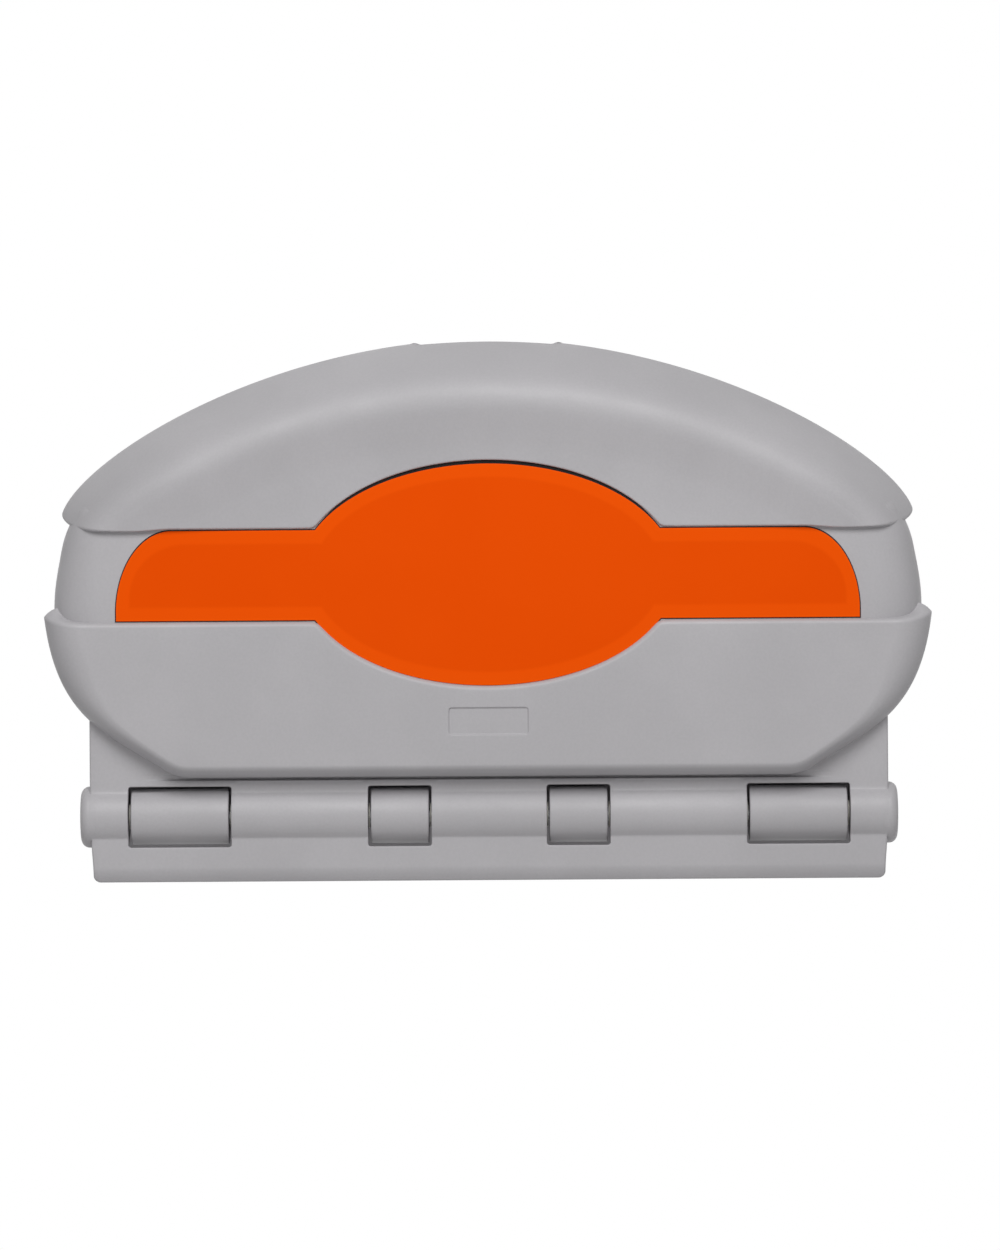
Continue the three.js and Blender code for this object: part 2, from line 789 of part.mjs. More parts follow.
function upperStrap() {
  const path = [...wallPath(basinHigh, -1, strapOff), [strapLevel, buckleTop + fitGap]];
  return ribbon(path, strapThickness, strapWidth);
}

function lowerStrap() {
  const path = [...wallPath(basinLow, 1, strapOff), [strapLevel, buckleBottom - fitGap]];
  return ribbon(path, strapThickness, strapWidth);
}

// The buckle's frame: a plate with a cross slot that the lever closes.
function buckleFrame() {
  const plate = box(
    [-buckleHalfWidth, buckleHalfWidth],
    [buckleBottom, buckleTop],
    [floorDepth - fitGap - buckleThickness, floorDepth - fitGap],
  );
  const slot = box(
    [buckleWall - buckleHalfWidth, buckleHalfWidth - buckleWall],
    [buckleBottom + buckleWall, buckleTop - buckleWall],
    [floorDepth - buckleThickness - cutOverrun, floorDepth - fitGap - buckleWall / 2],
  );
  return plate.subtract(slot);
}

// The cam lever lies in the frame and turns on trunnions near the frame's upper bar.
const leverPivotHeight = buckleTop - leverPinInset - buckleWall / 2;
const leverPivotDepth = floorDepth - fitGap - buckleThickness + leverThickness / 2;

function buckleLever() {
  const half = buckleHalfWidth - buckleWall - fitGap;
  const bar = box(
    [-half, half],
    [leverPivotHeight - leverLength, leverPivotHeight],
    [leverPivotDepth - leverThickness / 2, leverPivotDepth + leverThickness / 2],
  );
  return bar.add(cylinder("x", [-half, half], [leverPivotHeight, leverPivotDepth], leverThickness / 2, pinSides));
}

// An anchor plate clamps the strap's end against the steep part of the basin's wall.
const anchorOff = strapOff + strapThickness / 2 + fitGap + anchorThickness / 2;

function strapAnchor(edge, inward) {
  const [start, end] = wallPath(edge, inward, anchorOff);
  return ribbon([start, end], anchorThickness, strapWidth + 2 * anchorThickness);
}

// The screw's head sits on the middle of its anchor plate, square to it.
function placeAnchorScrew(name, edge, inward) {
  const [start, end] = wallPath(edge, inward, anchorOff + anchorThickness / 2 + fitGap);
  const head = cylinder("z", [0, anchorScrewHeight], [0, 0], anchorRadius, pinSides);
  const screw = place(name, head, steel, [0, (start[1] + end[1]) / 2, (start[0] + end[0]) / 2]);
  screw.rotation.x = Math.atan2(-inward * (end[0] - start[0]), -Math.abs(end[1] - start[1]));
}

// Gas spring. Its lower eye rides on the crank's pin, its upper eye on the bracket in the bed.

const crankX = wingStart + ribThickness * 2 + fitGap;
const gasEyeX = crankX + crankThickness + 2 * fitGap + gasEyeThickness / 2;
const crankPin = [crankLength * Math.sin(crankAngle), hingeDepth + crankLength * Math.cos(crankAngle)];
const gasPivot = [gasPivotHeight, hingeDepth - gasPivotBack];

// A gas spring part is drawn upright on its own axis and then leaned on the line between its two eyes.
const gasLean = Math.atan2(gasPivot[1] - crankPin[1], gasPivot[0] - crankPin[0]);

function gasCrank() {
  const span = [crankX, crankX + crankThickness];
  const hub = cylinder("x", span, [0, hingeDepth], crankHubRadius);
  const end = cylinder("x", span, crankPin, crankEndRadius);
  const pin = cylinder("x", [crankX, gasEyeX + gasEyeThickness / 2 + fitGap], crankPin, crankPinRadius, pinSides);
  const bore = cylinder("x", [crankX - cutOverrun, span[1] + cutOverrun], [0, hingeDepth], rodRadius + fitGap);
  return hub.add(end).add(pin).subtract(bore);
}

function gasCylinder() {
  const geometry = new THREE.CylinderGeometry(gasCylinderRadius, gasCylinderRadius, gasCylinderLength, roundSides);
  geometry.translate(0, -gasNeck - gasCylinderLength / 2, 0);
  const neck = new THREE.CylinderGeometry(gasRodRadius, gasRodRadius, gasNeck, pinSides);
  neck.translate(0, -gasNeck / 2 - gasCylinderRadius / 4, 0);
  const half = gasEyeThickness / 2;
  const bore = new THREE.CylinderGeometry(gasRodRadius + fitGap, gasRodRadius + fitGap, gasCylinderLength, pinSides);
  bore.translate(0, -gasNeck - gasCylinderLength / 2 - gasCylinderRadius, 0);
  return solid(geometry)
    .add(solid(neck))
    .add(cylinder("x", [-half, half], [0, 0], gasTopEyeRadius))
    .subtract(solid(bore))
    .subtract(cylinder("x", [-half - cutOverrun, half + cutOverrun], [0, 0], gasPinRadius + fitGap, pinSides));
}

// The rod hangs from the cylinder's bore down to its eye on the crank's pin.
function gasPistonRod() {
  const length = Math.hypot(gasPivot[0] - crankPin[0], gasPivot[1] - crankPin[1]);
  const top = -gasNeck - gasCylinderLength / 2;
  const rod = new THREE.CylinderGeometry(gasRodRadius, gasRodRadius, length + top - gasEyeHole, pinSides);
  rod.translate(0, (top - length + gasEyeHole) / 2, 0);
  const half = gasEyeThickness / 2;
  return solid(rod)
    .add(cylinder("x", [-half, half], [-length, 0], gasEyeRadius))
    .subtract(cylinder("x", [-half - cutOverrun, half + cutOverrun], [-length, 0], gasEyeHole));
}

function gasBracket() {
  const side = gasEyeX + gasEyeThickness / 2 + fitGap;
  const front = apronFaceDepth - shellWall - fitGap;
  const plate = box(
    [side, side + gasBracketThickness],
    [gasPivotHeight - gasTopEyeRadius, gasPivotHeight + 2 * gasTopEyeRadius],
    [gasPivot[1] - gasTopEyeRadius, front],
  );
  const foot = box(
    [side - 3 * gasEyeThickness, side + gasBracketThickness],
    [gasPivotHeight - gasTopEyeRadius, gasPivotHeight + 2 * gasTopEyeRadius],
    [front - gasBracketThickness, front],
  );
  const pin = cylinder("x", [side - gasEyeThickness - 2 * fitGap, side], gasPivot, gasPinRadius, pinSides);
  return plate.add(foot).add(pin);
}

// Pieces of the wall unit

function hingeKnuckle([x0, x1], boltXs) {
  const span = [x0 + knuckleGap, x1 - knuckleGap];
  const back = frameThickness + fitGap;
  let body = cylinder("x", span, [0, hingeDepth], knuckleRadius, barrelSides)
    .add(box(span, [-armHalfHeight, armHalfHeight], [back, hingeDepth]))
    .add(box(span, [-armHalfHeight, footTop], [back, back + footThickness]));
  body = body.subtract(
    cylinder("x", [span[0] - cutOverrun, span[1] + cutOverrun], [0, hingeDepth], rodRadius + fitGap),
  );
  for (const x of boltXs) {
    const hole = [back - cutOverrun, back + footThickness + cutOverrun];
    body = body.subtract(cylinder("z", hole, [x, footBoltHeight], boltRadius + boltHoleGap, pinSides));
  }
  return body;
}

// A hexagon bolt with its head away from the wall; its tip lies just inside the wall face.
function bolt(seat, tip, radius, headRadius, headHeight) {
  return cylinder("z", [tip, seat + fitGap + headHeight / 2], [0, 0], radius, pinSides).add(
    cylinder("z", [seat + fitGap, seat + fitGap + headHeight], [0, 0], headRadius, 6),
  );
}

const footBoltGroups = [
  [-outerWindowX - outerFootBoltX, -outerWindowX + outerFootBoltX],
  [-innerWindowX],
  [innerWindowX],
  [outerWindowX - outerFootBoltX, outerWindowX + outerFootBoltX],
];
const footBoltXs = footBoltGroups.flat();
const wallBoltPlaces = [-1, 1].flatMap((side) => wallBoltHeights.map((height) => [side * uprightX, height]));

function mountingFrame() {
  const depth = [0, frameThickness];
  const half = uprightWidth / 2;
  let frame = box([-frameHalfWidth, frameHalfWidth], [frameBottom, frameRailTop], depth);
  for (const x of [-uprightX, uprightX]) {
    frame = frame.add(box([x - half, x + half], [frameBottom, frameTop], depth));
  }
  const across = [-uprightX - half, uprightX + half];
  frame = frame.add(box(across, [frameTop - frameRailWidth, frameTop], depth));
  frame = frame.add(box(across, [-hingeHeight - frameRailWidth / 2, frameRailWidth / 2 - hingeHeight], depth));
  const through = [-cutOverrun, frameThickness + cutOverrun];
  for (const [x, y] of wallBoltPlaces) {
    frame = frame.subtract(cylinder("z", through, [x, y], wallBoltRadius + boltHoleGap, pinSides));
  }
  for (const x of footBoltXs) {
    frame = frame.subtract(cylinder("z", through, [x, footBoltHeight], boltRadius + boltHoleGap, pinSides));
  }
  return frame;
}

// The housing follows the crown's arch inside the bed's outline, so the closed bed hides it.
function housingOutline() {
  const arch = inset(crownOutline(), housingInset).filter(([x, y]) => x >= 0 && y > crownTipHeight - housingInset);
  return mirrored([[0, housingFoot], [housingFootHalfWidth, housingFoot], ...arch]);
}

function wallHousing() {
  const outline = housingOutline();
  const edge = [housingEdgeRun, housingEdgeDrop, housingEdgeShares];
  const outer = loft(roundedRings(outline, 0, housingDepth, edge, 0));
  const inner = loft(roundedRings(outline, -cutOverrun, housingDepth, edge, housingWall));
  const skinBack = frameThickness + fitGap;
  const frameRoom = box(
    [-frameHalfWidth - fitGap, frameHalfWidth + fitGap],
    [frameBottom, frameRailTop],
    [-cutOverrun, skinBack],
  );
  let shell = outer.subtract(inner).subtract(frameRoom).add(
    box(
      [-housingFootHalfWidth, housingFootHalfWidth],
      [frameBottom - skinMargin, housingFoot + housingWall],
      [skinBack, skinBack + skinThickness],
    ),
  );

  // Slots for the knuckle arms
  for (const [x0, x1] of windows) {
    shell = shell.subtract(
      box([x0, x1], [-armHalfHeight - knuckleGap / 2, armHalfHeight + knuckleGap / 2], [0, 2 * housingDepth]),
    );
  }

  // Sleeves that take the wall bolts
  for (const [x, y] of wallBoltPlaces) {
    const pocketFloor = skinBack + skinThickness;
    shell = shell
      .add(cylinder("z", [skinBack, housingDepth - housingWall / 2], [x, y], sleeveRadius))
      .subtract(cylinder("z", [pocketFloor, housingDepth + cutOverrun], [x, y], pocketRadius))
      .subtract(cylinder("z", [0, housingDepth], [x, y], wallBoltRadius + boltHoleGap, pinSides));
  }

  // Dispensing slot, refill opening and the bosses for the flap's pin
  const face = [housingDepth - housingWall - cutOverrun, housingDepth + cutOverrun];
  const slotEnd = slotHalfWidth - slotHalfHeight;
  shell = shell
    .subtract(box([-slotEnd, slotEnd], [slotHeight - slotHalfHeight, slotHeight + slotHalfHeight], face))
    .subtract(cylinder("z", face, [-slotEnd, slotHeight], slotHalfHeight))
    .subtract(cylinder("z", face, [slotEnd, slotHeight], slotHalfHeight))
    .subtract(box([-refillHalfWidth, refillHalfWidth], [refillBottom, refillTop], face));
  const bossSide = flapPinRadius + housingWall;
  const pinDepth = housingDepth - flapPinInset;
  for (const side of [-1, 1]) {
    const span = [side * refillHalfWidth, side * (refillHalfWidth + flapPinOverhang)].sort((a, b) => a - b);
    const boss = box(
      span,
      [flapPinHeight - bossSide, flapPinHeight + bossSide],
      [pinDepth - bossSide, housingDepth - housingWall / 2],
    );
    shell = shell.add(boss);
  }
  const pinReach = refillHalfWidth + flapPinOverhang - housingWall / 2;
  return shell.subtract(
    cylinder("x", [-pinReach, pinReach], [flapPinHeight, pinDepth], flapPinRadius + fitGap, pinSides),
  );
}

// The liner bin is an open box behind the housing's face.
function linerBin() {
  const front = housingDepth - housingWall - fitGap;
  const bossRoom = flapPinRadius + housingWall + fitGap;
  const pinDepth = housingDepth - flapPinInset;
  const bottom = slotHeight - slotHalfHeight - binFootMargin;
  const top = refillTop + binTopMargin;
  const outer = box([-binHalfWidth, binHalfWidth], [bottom, top], [front - binDepth, front]);
  const inner = box(
    [binWall - binHalfWidth, binHalfWidth - binWall],
    [bottom + binWall, top - binWall],
    [front - binDepth + binWall, front + cutOverrun],
  );
  const bossSlot = box(
    [-binHalfWidth - cutOverrun, binHalfWidth + cutOverrun],
    [flapPinHeight - bossRoom, flapPinHeight + bossRoom],
    [pinDepth - bossRoom, front + cutOverrun],
  );
  return outer.subtract(inner).subtract(bossSlot);
}

function flapPin() {
  const reach = refillHalfWidth + flapPinOverhang - housingWall / 2 - fitGap;
  return cylinder("x", [-reach, reach], [0, 0], flapPinRadius, pinSides);
}

// The refill flap hangs on its pin, with a plate that closes the opening and a hole for the lock.
function refillFlap() {
  const half = refillHalfWidth - flapSideClearance;
  const face = flapPinInset;
  const top = refillTop - flapGap - flapPinHeight;
  return box([-half, half], [0, top], [face - flapThickness, face])
    .add(cylinder("x", [-half, half], [0, 0], flapKnuckleRadius))
    .subtract(cylinder("x", [-half - cutOverrun, half + cutOverrun], [0, 0], flapPinRadius + fitGap, pinSides))
    .subtract(
      cylinder("z", [face - flapThickness - cutOverrun, face + cutOverrun],
        [0, lockHeight - flapPinHeight], lockShaftRadius + fitGap),
    );
}

// The lock's knob, shaft and cam are one piece; the cam lies level while the flap is unlocked.
function flapLock() {
  const face = flapPinInset;
  const back = face - flapThickness;
  const half = lockCamThickness;
  const knob = cylinder("z", [face + fitGap, face + fitGap + lockKnob], [0, 0], lockRadius);
  const gripHalf = lockRadius * lockGripShare;
  const grip = box(
    [-gripHalf, gripHalf],
    [-lockGripThickness / 2, lockGripThickness / 2],
    [face + lockKnob, face + 2 * lockKnob],
  );
  const shaft = cylinder("z", [back - fitGap - lockCamThickness, face + lockKnob / 2], [0, 0], lockShaftRadius);
  const cam = box([-half, lockDrop + lockCamReach], [-half, half], [back - fitGap - lockCamThickness, back - fitGap]);
  return knob.add(grip).add(shaft).add(cam);
}

// A bag hook: a back plate and an upturned arm.
function bagHook() {
  const half = hookWidth / 2;
  const back = housingDepth + fitGap;
  const high = hookPlateHeight / 2;
  const profile = [
    [back, high],
    [back, -high],
    [back + hookReach - hookThickness, -high],
    [back + hookReach, -high + hookThickness],
    [back + hookReach, -high + hookReach],
    [back + hookReach - hookThickness, -high + hookReach],
    [back + hookReach - hookThickness, -high + 2 * hookThickness],
    [back + hookThickness * 1.6, -high + hookThickness],
    [back + hookThickness, -high + 2 * hookThickness],
    [back + hookThickness, high - hookThickness / 2],
    [back + hookThickness / 2, high],
  ];
  return sideProfile(profile, [-half, half]);
}

function closingBumper() {
  const back = housingDepth + fitGap;
  return cylinder("z", [back, bedBack - bumperGap], [0, 0], bumperRadius);
}

// A stop pad that the bed's heel meets when the bed is down.
function stopPad() {
  const back = frameThickness + 2 * fitGap + skinThickness;
  const heel = hingeDepth - plateBottom;
  return box([-padHalfWidth, padHalfWidth], [-padDrop - padHeight, -padDrop], [back, heel - padGap]);
}

function boltCover() {
  const radius = pocketRadius - fitGap;
  return cylinder("z", [housingDepth - coverThickness, housingDepth + coverThickness / 4], [0, 0], radius);
}

// Finishes

const finish = (color, roughness, metalness = 0) =>
  new THREE.MeshStandardMaterial({ color, roughness, metalness });
const greyShell = finish(0xb2b1b4, 0.55);
const greyTrim = finish(0xa9a8ab, 0.55);
const orangePanel = finish(0xf05000, 0.4);
const steel = finish(0x8b8d90, 0.35, 1);
const zincSteel = finish(0xa8abb0, 0.4, 1);
const rubber = finish(0x2b2b2c, 0.85);
const nylon = finish(0xe6e3da, 0.5);
const webbing = finish(0x3a3b3f, 0.9);
const darkPlastic = finish(0x39393b, 0.5);

// Assembly

const station = new THREE.Group();
station.rotation.x = quarterTurn;
station.position.z = hingeHeight;

function place(name, manifold, material, [x, y, z] = [0, 0, 0]) {
  const mesh = new THREE.Mesh(geometryOf(manifold), material);
  mesh.name = name;
  mesh.position.set(x, y, z);
  station.add(mesh);
  return mesh;
}

// Wall unit
place("mounting_frame", mountingFrame(), zincSteel);
place("wall_housing", wallHousing(), greyShell);
place("liner_bin", linerBin(), greyTrim);
const knuckleNames = ["outer_left", "inner_left", "inner_right", "outer_right"];
knuckleNames.forEach((name, i) => {
  place(`hinge_knuckle_${name}`, hingeKnuckle(windows[i], footBoltGroups[i]), greyShell);
});
const footSeat = frameThickness + fitGap + footThickness;
footBoltXs.forEach((x, i) => {
  const piece = bolt(footSeat, fitGap, boltRadius, boltHeadRadius, boltHeadHeight);
  place(`knuckle_bolt_${i + 1}`, piece, steel, [x, footBoltHeight, 0]);
});
const pocketSeat = frameThickness + fitGap + skinThickness;
wallBoltPlaces.forEach(([x, y], i) => {
  const piece = bolt(pocketSeat, fitGap, wallBoltRadius, wallBoltHeadRadius, wallBoltHeadHeight);
  place(`wall_bolt_${i + 1}`, piece, steel, [x, y, 0]);
  place(`bolt_cover_${i + 1}`, boltCover(), greyTrim, [x, y, 0]);
});
const rodSpan = [-hingeBlockHalfWidth + capSpigot + fitGap, crankX + crankThickness];
place("hinge_rod", cylinder("x", rodSpan, [0, 0], rodRadius), steel, [0, 0, hingeDepth]);
place("gas_spring_crank", gasCrank(), steel);
const bumperSpot = crownArch().getPoint(bumperArchShare);
const bumperAlong = crownArch().getTangent(bumperArchShare);
const bumperX = bumperSpot.x - bumperAlong.y * bumperInset;
const bumperHeight = bumperSpot.y + bumperAlong.x * bumperInset;
const padX = (windows[2][1] + windows[3][0]) / 2;
for (const [name, side] of [["left", -1], ["right", 1]]) {
  place(`bag_hook_${name}`, bagHook(), greyTrim, [side * hookX, hookHeight, 0]);
  place(`closing_bumper_${name}`, closingBumper(), rubber, [side * bumperX, bumperHeight, 0]);
  place(`open_stop_pad_${name}`, stopPad(), rubber, [side * padX, 0, 0]);
}
const flapAxis = [0, flapPinHeight, housingDepth - flapPinInset];
place("flap_pin", flapPin(), steel, flapAxis);
place("refill_flap", refillFlap(), greyTrim, flapAxis);
place("flap_lock", flapLock(), darkPlastic, [0, lockHeight, housingDepth - flapPinInset]);

// Bed
place("bed_outer_shell", bedOuterShell(), greyShell);
place("bed_tray", bedTray(), greyShell);
place("front_label", frontLabel(), orangePanel);
[lowerBarHeight, upperBarHeight].forEach((height, i) => {
  const back = floorDepth + basinWall + fitGap;
  place(`bed_stiffener_bar_${i + 1}`, stiffenerBar(), zincSteel, [0, height, back]);
});
for (const [name, side] of [["left", -1], ["right", 1]]) {
  const cap = place(`barrel_end_cap_${name}`, barrelEndCap(), greyShell);
  cap.position.set(side * (hingeBlockHalfWidth + fitGap), 0, hingeDepth);
  cap.rotation.z = -side * quarterTurn;
}
const bushEnds = windows.flatMap(([x0, x1]) => [[x0, 1], [x1, -1]]);
bushEnds.forEach(([x, side], i) => {
  const bush = place(`hinge_bush_${i + 1}`, hingeBush(), nylon, [x, 0, hingeDepth]);
  bush.rotation.z = -side * quarterTurn;
});
place("strap_upper", upperStrap(), webbing);
place("strap_lower", lowerStrap(), webbing);
place("strap_anchor_upper", strapAnchor(basinHigh, -1), darkPlastic);
place("strap_anchor_lower", strapAnchor(basinLow, 1), darkPlastic);
place("buckle_frame", buckleFrame(), zincSteel);
place("buckle_lever", buckleLever(), zincSteel);
placeAnchorScrew("anchor_screw_upper", basinHigh, -1);
placeAnchorScrew("anchor_screw_lower", basinLow, 1);

// Gas spring
place("gas_spring_bracket", gasBracket(), zincSteel);
for (const [name, piece, material] of [
  ["gas_spring_cylinder", gasCylinder(), darkPlastic],
  ["gas_spring_rod", gasPistonRod(), steel],
]) {
  const mesh = place(name, piece, material, [gasEyeX, gasPivot[0], gasPivot[1]]);
  mesh.rotation.x = gasLean;
}

const changingStation = new THREE.Group();
changingStation.add(station);
export default changingStation;
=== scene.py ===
import json

import bmesh
import bpy
import numpy as np
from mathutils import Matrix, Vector

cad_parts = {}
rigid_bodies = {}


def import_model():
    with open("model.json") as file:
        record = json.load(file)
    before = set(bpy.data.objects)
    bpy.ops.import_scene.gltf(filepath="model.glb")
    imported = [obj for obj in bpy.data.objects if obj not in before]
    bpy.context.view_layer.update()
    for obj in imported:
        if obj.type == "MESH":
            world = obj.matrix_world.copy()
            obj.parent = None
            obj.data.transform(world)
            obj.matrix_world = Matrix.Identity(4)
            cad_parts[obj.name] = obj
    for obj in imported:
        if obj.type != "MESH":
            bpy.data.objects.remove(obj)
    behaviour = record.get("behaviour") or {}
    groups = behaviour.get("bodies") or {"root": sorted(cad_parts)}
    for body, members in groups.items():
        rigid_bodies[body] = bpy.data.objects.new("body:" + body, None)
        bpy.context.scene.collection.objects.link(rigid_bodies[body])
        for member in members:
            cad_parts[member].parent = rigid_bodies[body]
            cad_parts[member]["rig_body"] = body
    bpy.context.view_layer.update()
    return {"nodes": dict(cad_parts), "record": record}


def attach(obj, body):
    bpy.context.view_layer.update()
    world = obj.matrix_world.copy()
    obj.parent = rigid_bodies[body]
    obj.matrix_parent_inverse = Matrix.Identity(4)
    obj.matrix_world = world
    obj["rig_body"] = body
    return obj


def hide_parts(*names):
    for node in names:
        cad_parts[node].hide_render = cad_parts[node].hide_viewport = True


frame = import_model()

bl_info = {
    "name": "Folding changing station",
    "version": (1, 0, 0),
    "blender": (4, 5, 0),
    "location": "3D View > Sidebar > Station",
    "description": "Dresses the solid model of a wall-mounted baby changing station",
    "category": "Add Mesh",
}

# Shapes are worked out in millimetres as points (x, h, d): x to the right, h above the hinge axis and
# d out from the wall. place_points turns them to the part's frame in metres.
MM = 0.001
HINGE_DROP = 210.0


def place_points(points):
    """(x, h, d) in mm becomes (x, -d, h - hinge drop) in metres."""
    points = np.asarray(points, float)
    return np.stack([points[..., 0], -points[..., 2], points[..., 1] - HINGE_DROP], -1) * MM


# Sizes of the closed bed: the solid model's, but for the finer shapes of edges, rims and outlines
# Crown: half of its outline, a cubic from tip to apex
CROWN_ARCH = ((443.0, 300.4), (462.4, 346.7), (250.9, 494.4), (0.0, 494.4))
CROWN_FACE = 137.2
# Ridge of the crown: with u = 1 - t, x = a u + b u3 + c u5 and h = top + a u2 + b u4 + c u6
RIDGE_TOP, RIDGE_X, RIDGE_H = 425.4, (661.7, -436.6, 182.6), (-322.4, 353.0, -179.8)
# From the outline to the ridge: run as it is over the middle, and drop back from the ridge
CROWN_EDGE = (
    (0, 76.8), (2, 70.2), (5, 63.5), (10, 54.5), (20, 38), (26, 28.7), (32, 20.3), (38, 13.3), (42, 9.6),
    (46, 6.6), (50, 4.3), (54, 2.5), (58, 1.3), (62, 0.5), (66, 0.1), (69, 0),
)
CROWN_TIP_BACK, CROWN_BLEND = 8.0, 0.42
# Below the ridge: how far the face lies back at a distance down from it
CROWN_COVE = ((0, 0), (4, 0.15), (9, 0.8), (15, 1.9), (40, 6.6), (55, 8.4), (75, 9.9), (90, 10.4),
              (115, 10.4))
CROWN_LIP_H, CROWN_LIP_RISE, CROWN_LIP_FADE = 297.0, 16.0, 15.5
LIP_RADIUS, LIP_TIP_RADIUS, LIP_TURN = 1.8, 3.2, np.radians(95)
# Apron: its outline's corners and handles, then run and drop of its edge
APRON_HALF, APRON_SHOULDER, APRON_FOOT = 459.4, 208.0, 40.3
APRON_CORNER, APRON_BEND_X = (336.0, 48.7), 308.0
APRON_SIDE = ((0.474, 0.24), (0.897, 0.322))
APRON_FACE = 128.0
APRON_EDGE = ((0, 31), (0.7, 26), (2.6, 20.5), (6.5, 14), (12.5, 8), (20, 3.4), (28, 0.9), (36, 0))
APRON_FOOT_RUN, APRON_HANDLE = 0.36, 0.53
RIM_H, RIM_SLOPE, RIM_CREST, RIM_ROUND = 199.5, 0.33, 208.5, 3.7
# The shelves behind the lower edge of the crown and the rim of the apron are deeper beyond this x
SHELF_RUN, CROWN_SHELF_RUN, APRON_SHELF_RUN, SHELF_WIDE_X = 13.0, 20.0, 30.0, 383.0
# Belt: right half of its outline in shares of its half width and height, and run and drop of its edge
BELT_HALF, BELT_LOW, BELT_HIGH, BELT_FACE, BELT_LEAN = 450.6, 70.0, 440.0, 123.0, 0.8
BELT_OUTLINE = (
    (0, 0), (0.78, 0.06), (0.953, 0.216), (0.993, 0.324), (1, 0.411),
    (0.989, 0.519), (0.964, 0.63), (0.891, 0.762), (0.668, 0.905), (0, 1),
)
BELT_LEAN_H, BELT_SHOWN = 317.0, (178.0, 335.0)
BELT_EDGE = ((0, 54), (1, 43.5), (3.5, 31), (9, 18.5), (20, 8.2), (35, 1.9), (52, 0))
BED_BACK, SHELL_BACK, SHELL_WALL = 40.0, 44.3, 3.0
# Label: an ellipse with half axes A and B about the height H, and two wings
LABEL_H, LABEL_A, LABEL_B = 248.8, 194.5, 114.3
LABEL_TOP, LABEL_FOOT, LABEL_HALF = 295.5, 202.7, 383.2
LABEL_END_RUN, LABEL_END_FOOT = 58.0, 9.0
LABEL_BACK, LABEL_FRONT = 123.3, 124.2
RECESS_MARGIN, RECESS_TOP_MARGIN, RECESS_HALF = 2.0, 3.6, 200.0
INSET_HALF, INSET_LOW, INSET_HIGH = 41.3, 83.6, 112.0
GRIP_FLOOR_H, GRIP_FLOOR_D, GRIP_HALF, GRIP_END = 467.0, 60.0, 65.0, 13.0
# Hinge block: barrel, strip above and plate below it, windows and fixed knuckles
HINGE_D, BARREL_R = 80.0, 31.7
BLOCK_HALF, BLOCK_TOP, STRIP_D, PLATE_D, PLATE_FOOT = 413.0, 112.0, 100.0, 103.0, -67.3
GROOVE, GROOVE_END = 7.0, 334.0
WINDOWS = ((-373.25, -266.55), (-125.2, -59.6), (59.6, 125.2), (266.55, 373.25))
WINDOW_HALF, WINDOW_CORNER, WINDOW_ROUND, WINDOW_WALL, WINDOW_MARGIN = 31.3, 3.0, 1.1, 22.0, 6.0
CRANK_PLACE = (380.1, 400.0)
KNUCKLE_R, KNUCKLE_GAP = 28.7, 2.8
# Basin and strap: the wall's table goes from the rim (0, 0) to the floor (1, 1)
BASIN_HALF, BASIN_LOW, BASIN_HIGH = 367.0, 66.0, 436.0
BASIN_RUN, BASIN_DEPTH, BASIN_CLEAR = 46.0, 56.0, 11.0
BED_MIDDLE = np.array([0.0, 250.0])
BASIN_OUTLINE = (
    (0, 0), (0.777, 0), (0.921, 0.059), (0.992, 0.216), (1, 0.411), (0.946, 0.605),
    (0.812, 0.765), (0.559, 0.911), (0.305, 0.978), (0.109, 1), (0, 1),
)
BASIN_WALL = ((0, 0), (0.043, 0.143), (0.174, 0.464), (0.391, 0.732), (0.696, 0.911), (1, 1))
STRAP_WIDTH, STRAP_THICK, STRAP_OFF, STRAP_EDGE = 40.0, 1.8, 1.2, 0.8
BUCKLE_TOP, BUCKLE_FOOT = 237.0, 193.0


# Curves and surfaces


def through(points, at, before=None, after=None):
    """Catmull-Rom cubic through the points: between two of them it is the Hermite cubic whose end slopes
    are half the step between the neighbours. at runs from 0 to 1; before and after are the ghost ends."""
    p = np.asarray(points, float)
    before = 2 * p[0] - p[1] if before is None else np.asarray(before, float)
    after = 2 * p[-1] - p[-2] if after is None else np.asarray(after, float)
    ghosted = np.vstack([before, p, after])
    place = np.clip(at, 0, 1) * (len(p) - 1)
    i = np.minimum(place.astype(int), len(p) - 2)
    f = (place - i)[..., None]
    a, b, c, d = (ghosted[i + k] for k in range(4))
    return 0.5 * (2 * b + (c - a) * f + (2 * a - 5 * b + 4 * c - d) * f**2 + (3 * b - a - 3 * c + d) * f**3)


def profile(table, count, flat_start=False):
    """Run and drop of a rounded edge, as a smooth curve through the table that ends level."""
    t = np.asarray(table, float)
    before = (2 * t[0, 0] - t[1, 0], t[1, 1]) if flat_start else None
    after = (2 * t[-1, 0] - t[-2, 0], t[-2, 1])
    return through(t, np.linspace(0, 1, count), before, after).T


def soft_max(a, b, k):
    """The larger of two, with the corner between them rounded over about k."""
    return 0.5 * (a + b + np.sqrt((a - b) ** 2 + k**2))


def soft_min(a, b, k):
    return -soft_max(-a, -b, k)


def smoothstep(low, high, value):
    """0 below low, 1 above high and the cubic 3t2-2t3 between them."""
    t = np.clip((value - low) / (high - low), 0, 1)
    return t * t * (3 - 2 * t)


def bezier(p, t):
    """Points of a cubic Bezier at t. Past its ends it goes on straight."""
    p, at = np.asarray(p, float), np.asarray(t, float)[..., None]
    t = np.clip(at, 0, 1)
    s = 1 - t
    point = s**3 * p[0] + 3 * s**2 * t * p[1] + 3 * s * t**2 * p[2] + t**3 * p[3]
    along = s**2 * (p[1] - p[0]) + 2 * s * t * (p[2] - p[1]) + t**2 * (p[3] - p[2])
    return point + 3 * (at - t) * along


